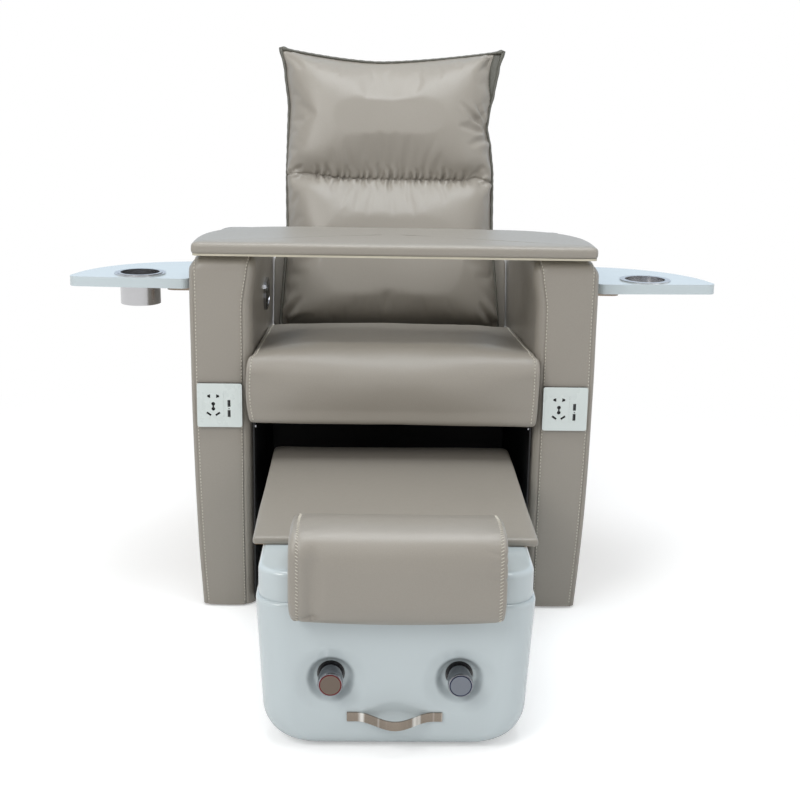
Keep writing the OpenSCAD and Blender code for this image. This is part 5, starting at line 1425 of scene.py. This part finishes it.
chrome = finish_from("chrome", gloss_wave, 0.0001, 0.05, {"Metallic": 1.0}, Colour=srgb(176, 176, 180),
                     Shine=0.05)
black_paint = finish_from("black_paint", powder_tooth, 0.0002, 0.35, {}, Colour=srgb(34, 34, 36),
                          Shine=0.48)
black_board = finish_from("black_board", powder_tooth, 0.0002, 0.3, {}, Colour=srgb(20, 20, 21), Shine=0.55)
black_gloss = finish_from("black_gloss", gloss_wave, 0.0001, 0.1, {"Coat_Weight": 0.6},
                          Colour=srgb(22, 22, 24), Shine=0.18)
tread_rubber = finish_from("tread_rubber", powder_tooth, 0.0002, 0.5, {}, Colour=srgb(38, 38, 39),
                           Shine=0.75)
copper_pipe = finish_from("copper_pipe", brush_lines, 0.0001, 0.1, {"Metallic": 1.0},
                          Colour=srgb(196, 132, 96), Shine=0.32, Stretch=(300.0, 60.0, 300.0))
cream_vinyl = finish_from("cream_vinyl", powder_tooth, 0.0002, 0.3, {}, Colour=srgb(196, 190, 172),
                          Shine=0.5)
birch_ply = finish_from("birch_ply", brush_lines, 0.0003, 0.3, {}, Colour=srgb(176, 144, 104), Shine=0.6,
                        Stretch=(14.0, 320.0, 320.0))

dress(black_paint, "base_frame", "backrest_frame", "footrest_bracket", "wheel_forks")
dress(black_board, "bay_sides", "bay_ceiling", "bay_back", "rear_panel", "control_box", "actuator_housing",
      "arm_glides", "mains_inlet", "basin_base")
dress(brushed_steel, "hinge_pins", "actuator_rod", "left_tray_bracket", "right_tray_bracket")
dress(turned_steel, "cup", "left_tray_ring", "right_tray_ring")
dress(chrome, "spout", "drain", "footrest_socket", "bay_screws", "switch_bezel")
# The valves' collars are made black gloss as painted shade and reflection, so a dark crescent shows above
# each knob's neck
dress(black_gloss, "valves", "switch_face", "recline_button", "upright_button")
dress(tread_rubber, "front_left_wheel", "front_right_wheel", "rear_left_wheel", "rear_right_wheel",
      "drain_plug")
dress(copper_pipe, "water_pipes")
dress(birch_ply, "seat_board", "lid_board")
dress(cream_vinyl, "board_base")
dress(outlet_plastic, "left_outlet_plate", "right_outlet_plate", "left_outlet_insert",
      "right_outlet_insert")
dress(port_plastic, "usb_ports")
dress(tray_gloss, "left_tray", "right_tray")


# Pull
# A bowed strip of brushed steel on the basin's front, for drawing it out of the chair. Narrow upright
# streaks of painted highlight lift its colour almost to white.
pull_steel, tree, shader, place = new_finish("pull_steel", Metallic=1.0)
pull_lines = grouped(tree, brush_lines, Place=place, Colour=srgb(150, 138, 126), Shine=0.22,
                     Stretch=(1800.0, 60.0, 40.0))
# Painted highlights: narrow upright streaks where the steel's colour is mixed towards near white
glint_place = node(tree, "VectorMath", {0: place, 1: (46.0, 0.0, 0.0)}, operation="MULTIPLY")
painted_glints = noise(tree, glint_place, 1.0, 2.0)
glint_share = node(tree, "MapRange", {"Value": painted_glints, "From Min": 0.52, "From Max": 0.66})
glint_mix = node(tree, "MixRGB", {"Fac": glint_share, "Color1": pull_lines.outputs["Colour"],
                                 "Color2": srgb(236, 232, 226)})
put(tree, shader.inputs["Base Color"], glint_mix)
put(tree, shader.inputs["Roughness"], pull_lines.outputs["Roughness"])
raised(tree, shader, pull_lines.outputs["Height"], 0.0001, 0.15)
dress(pull_steel, "pull")


# Tap knobs
# Two turned chrome caps on the valves. A thin band of colour round the face tells hot from cold,
# and the face inside it is finely brushed.
knob_z, band_inner, band_outer = 0.125, 0.0160, 0.0177
# The faces are satin metal whose flat tints are painted reflection: warm on the hot knob, cool on the cold
# one
for knob, sign, band, face in (("hot_knob", -1, srgb(104, 24, 30), srgb(118, 106, 97)),
                               ("cold_knob", 1, srgb(24, 34, 62), srgb(125, 129, 137))):
    knob_chrome, tree, shader, place = new_finish(knob + "_chrome", Metallic=1.0)
    across = node(tree, "VectorMath", {0: place, 1: (-sign * tap_x, 0.0, -knob_z)})
    flat = node(tree, "VectorMath", {0: across, 1: (1.0, 0.0, 1.0)}, operation="MULTIPLY")
    radius = node(tree, "VectorMath", {0: flat}, operation="LENGTH").outputs["Value"]
    depth = node(tree, "SeparateXYZ", {"Vector": place}).outputs["Y"]
    on_face = maths(tree, "LESS_THAN", depth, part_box(knob)[0].y + 0.0025)
    outside = maths(tree, "GREATER_THAN", radius, band_inner)
    inside_rim = maths(tree, "LESS_THAN", radius, band_outer)
    in_band = maths(tree, "MULTIPLY", maths(tree, "MULTIPLY", outside, inside_rim), on_face)
    in_face = maths(tree, "MULTIPLY", maths(tree, "LESS_THAN", radius, band_inner), on_face)
    turned = grouped(tree, brush_lines, Place=place, Colour=srgb(150, 150, 154), Shine=0.10,
                     Stretch=(30.0, 2600.0, 30.0))
    faced = node(tree, "MixRGB", {"Fac": in_face, "Color1": turned.outputs["Colour"], "Color2": face})
    banded = node(tree, "MixRGB", {"Fac": in_band, "Color1": faced, "Color2": band})
    put(tree, shader.inputs["Base Color"], banded)
    rough = maths(tree, "MULTIPLY_ADD", in_face, 0.22, 0.12)
    put(tree, shader.inputs["Roughness"], rough)
    raised(tree, shader, turned.outputs["Height"], 0.0001, 0.1)
    dress(knob_chrome, knob)
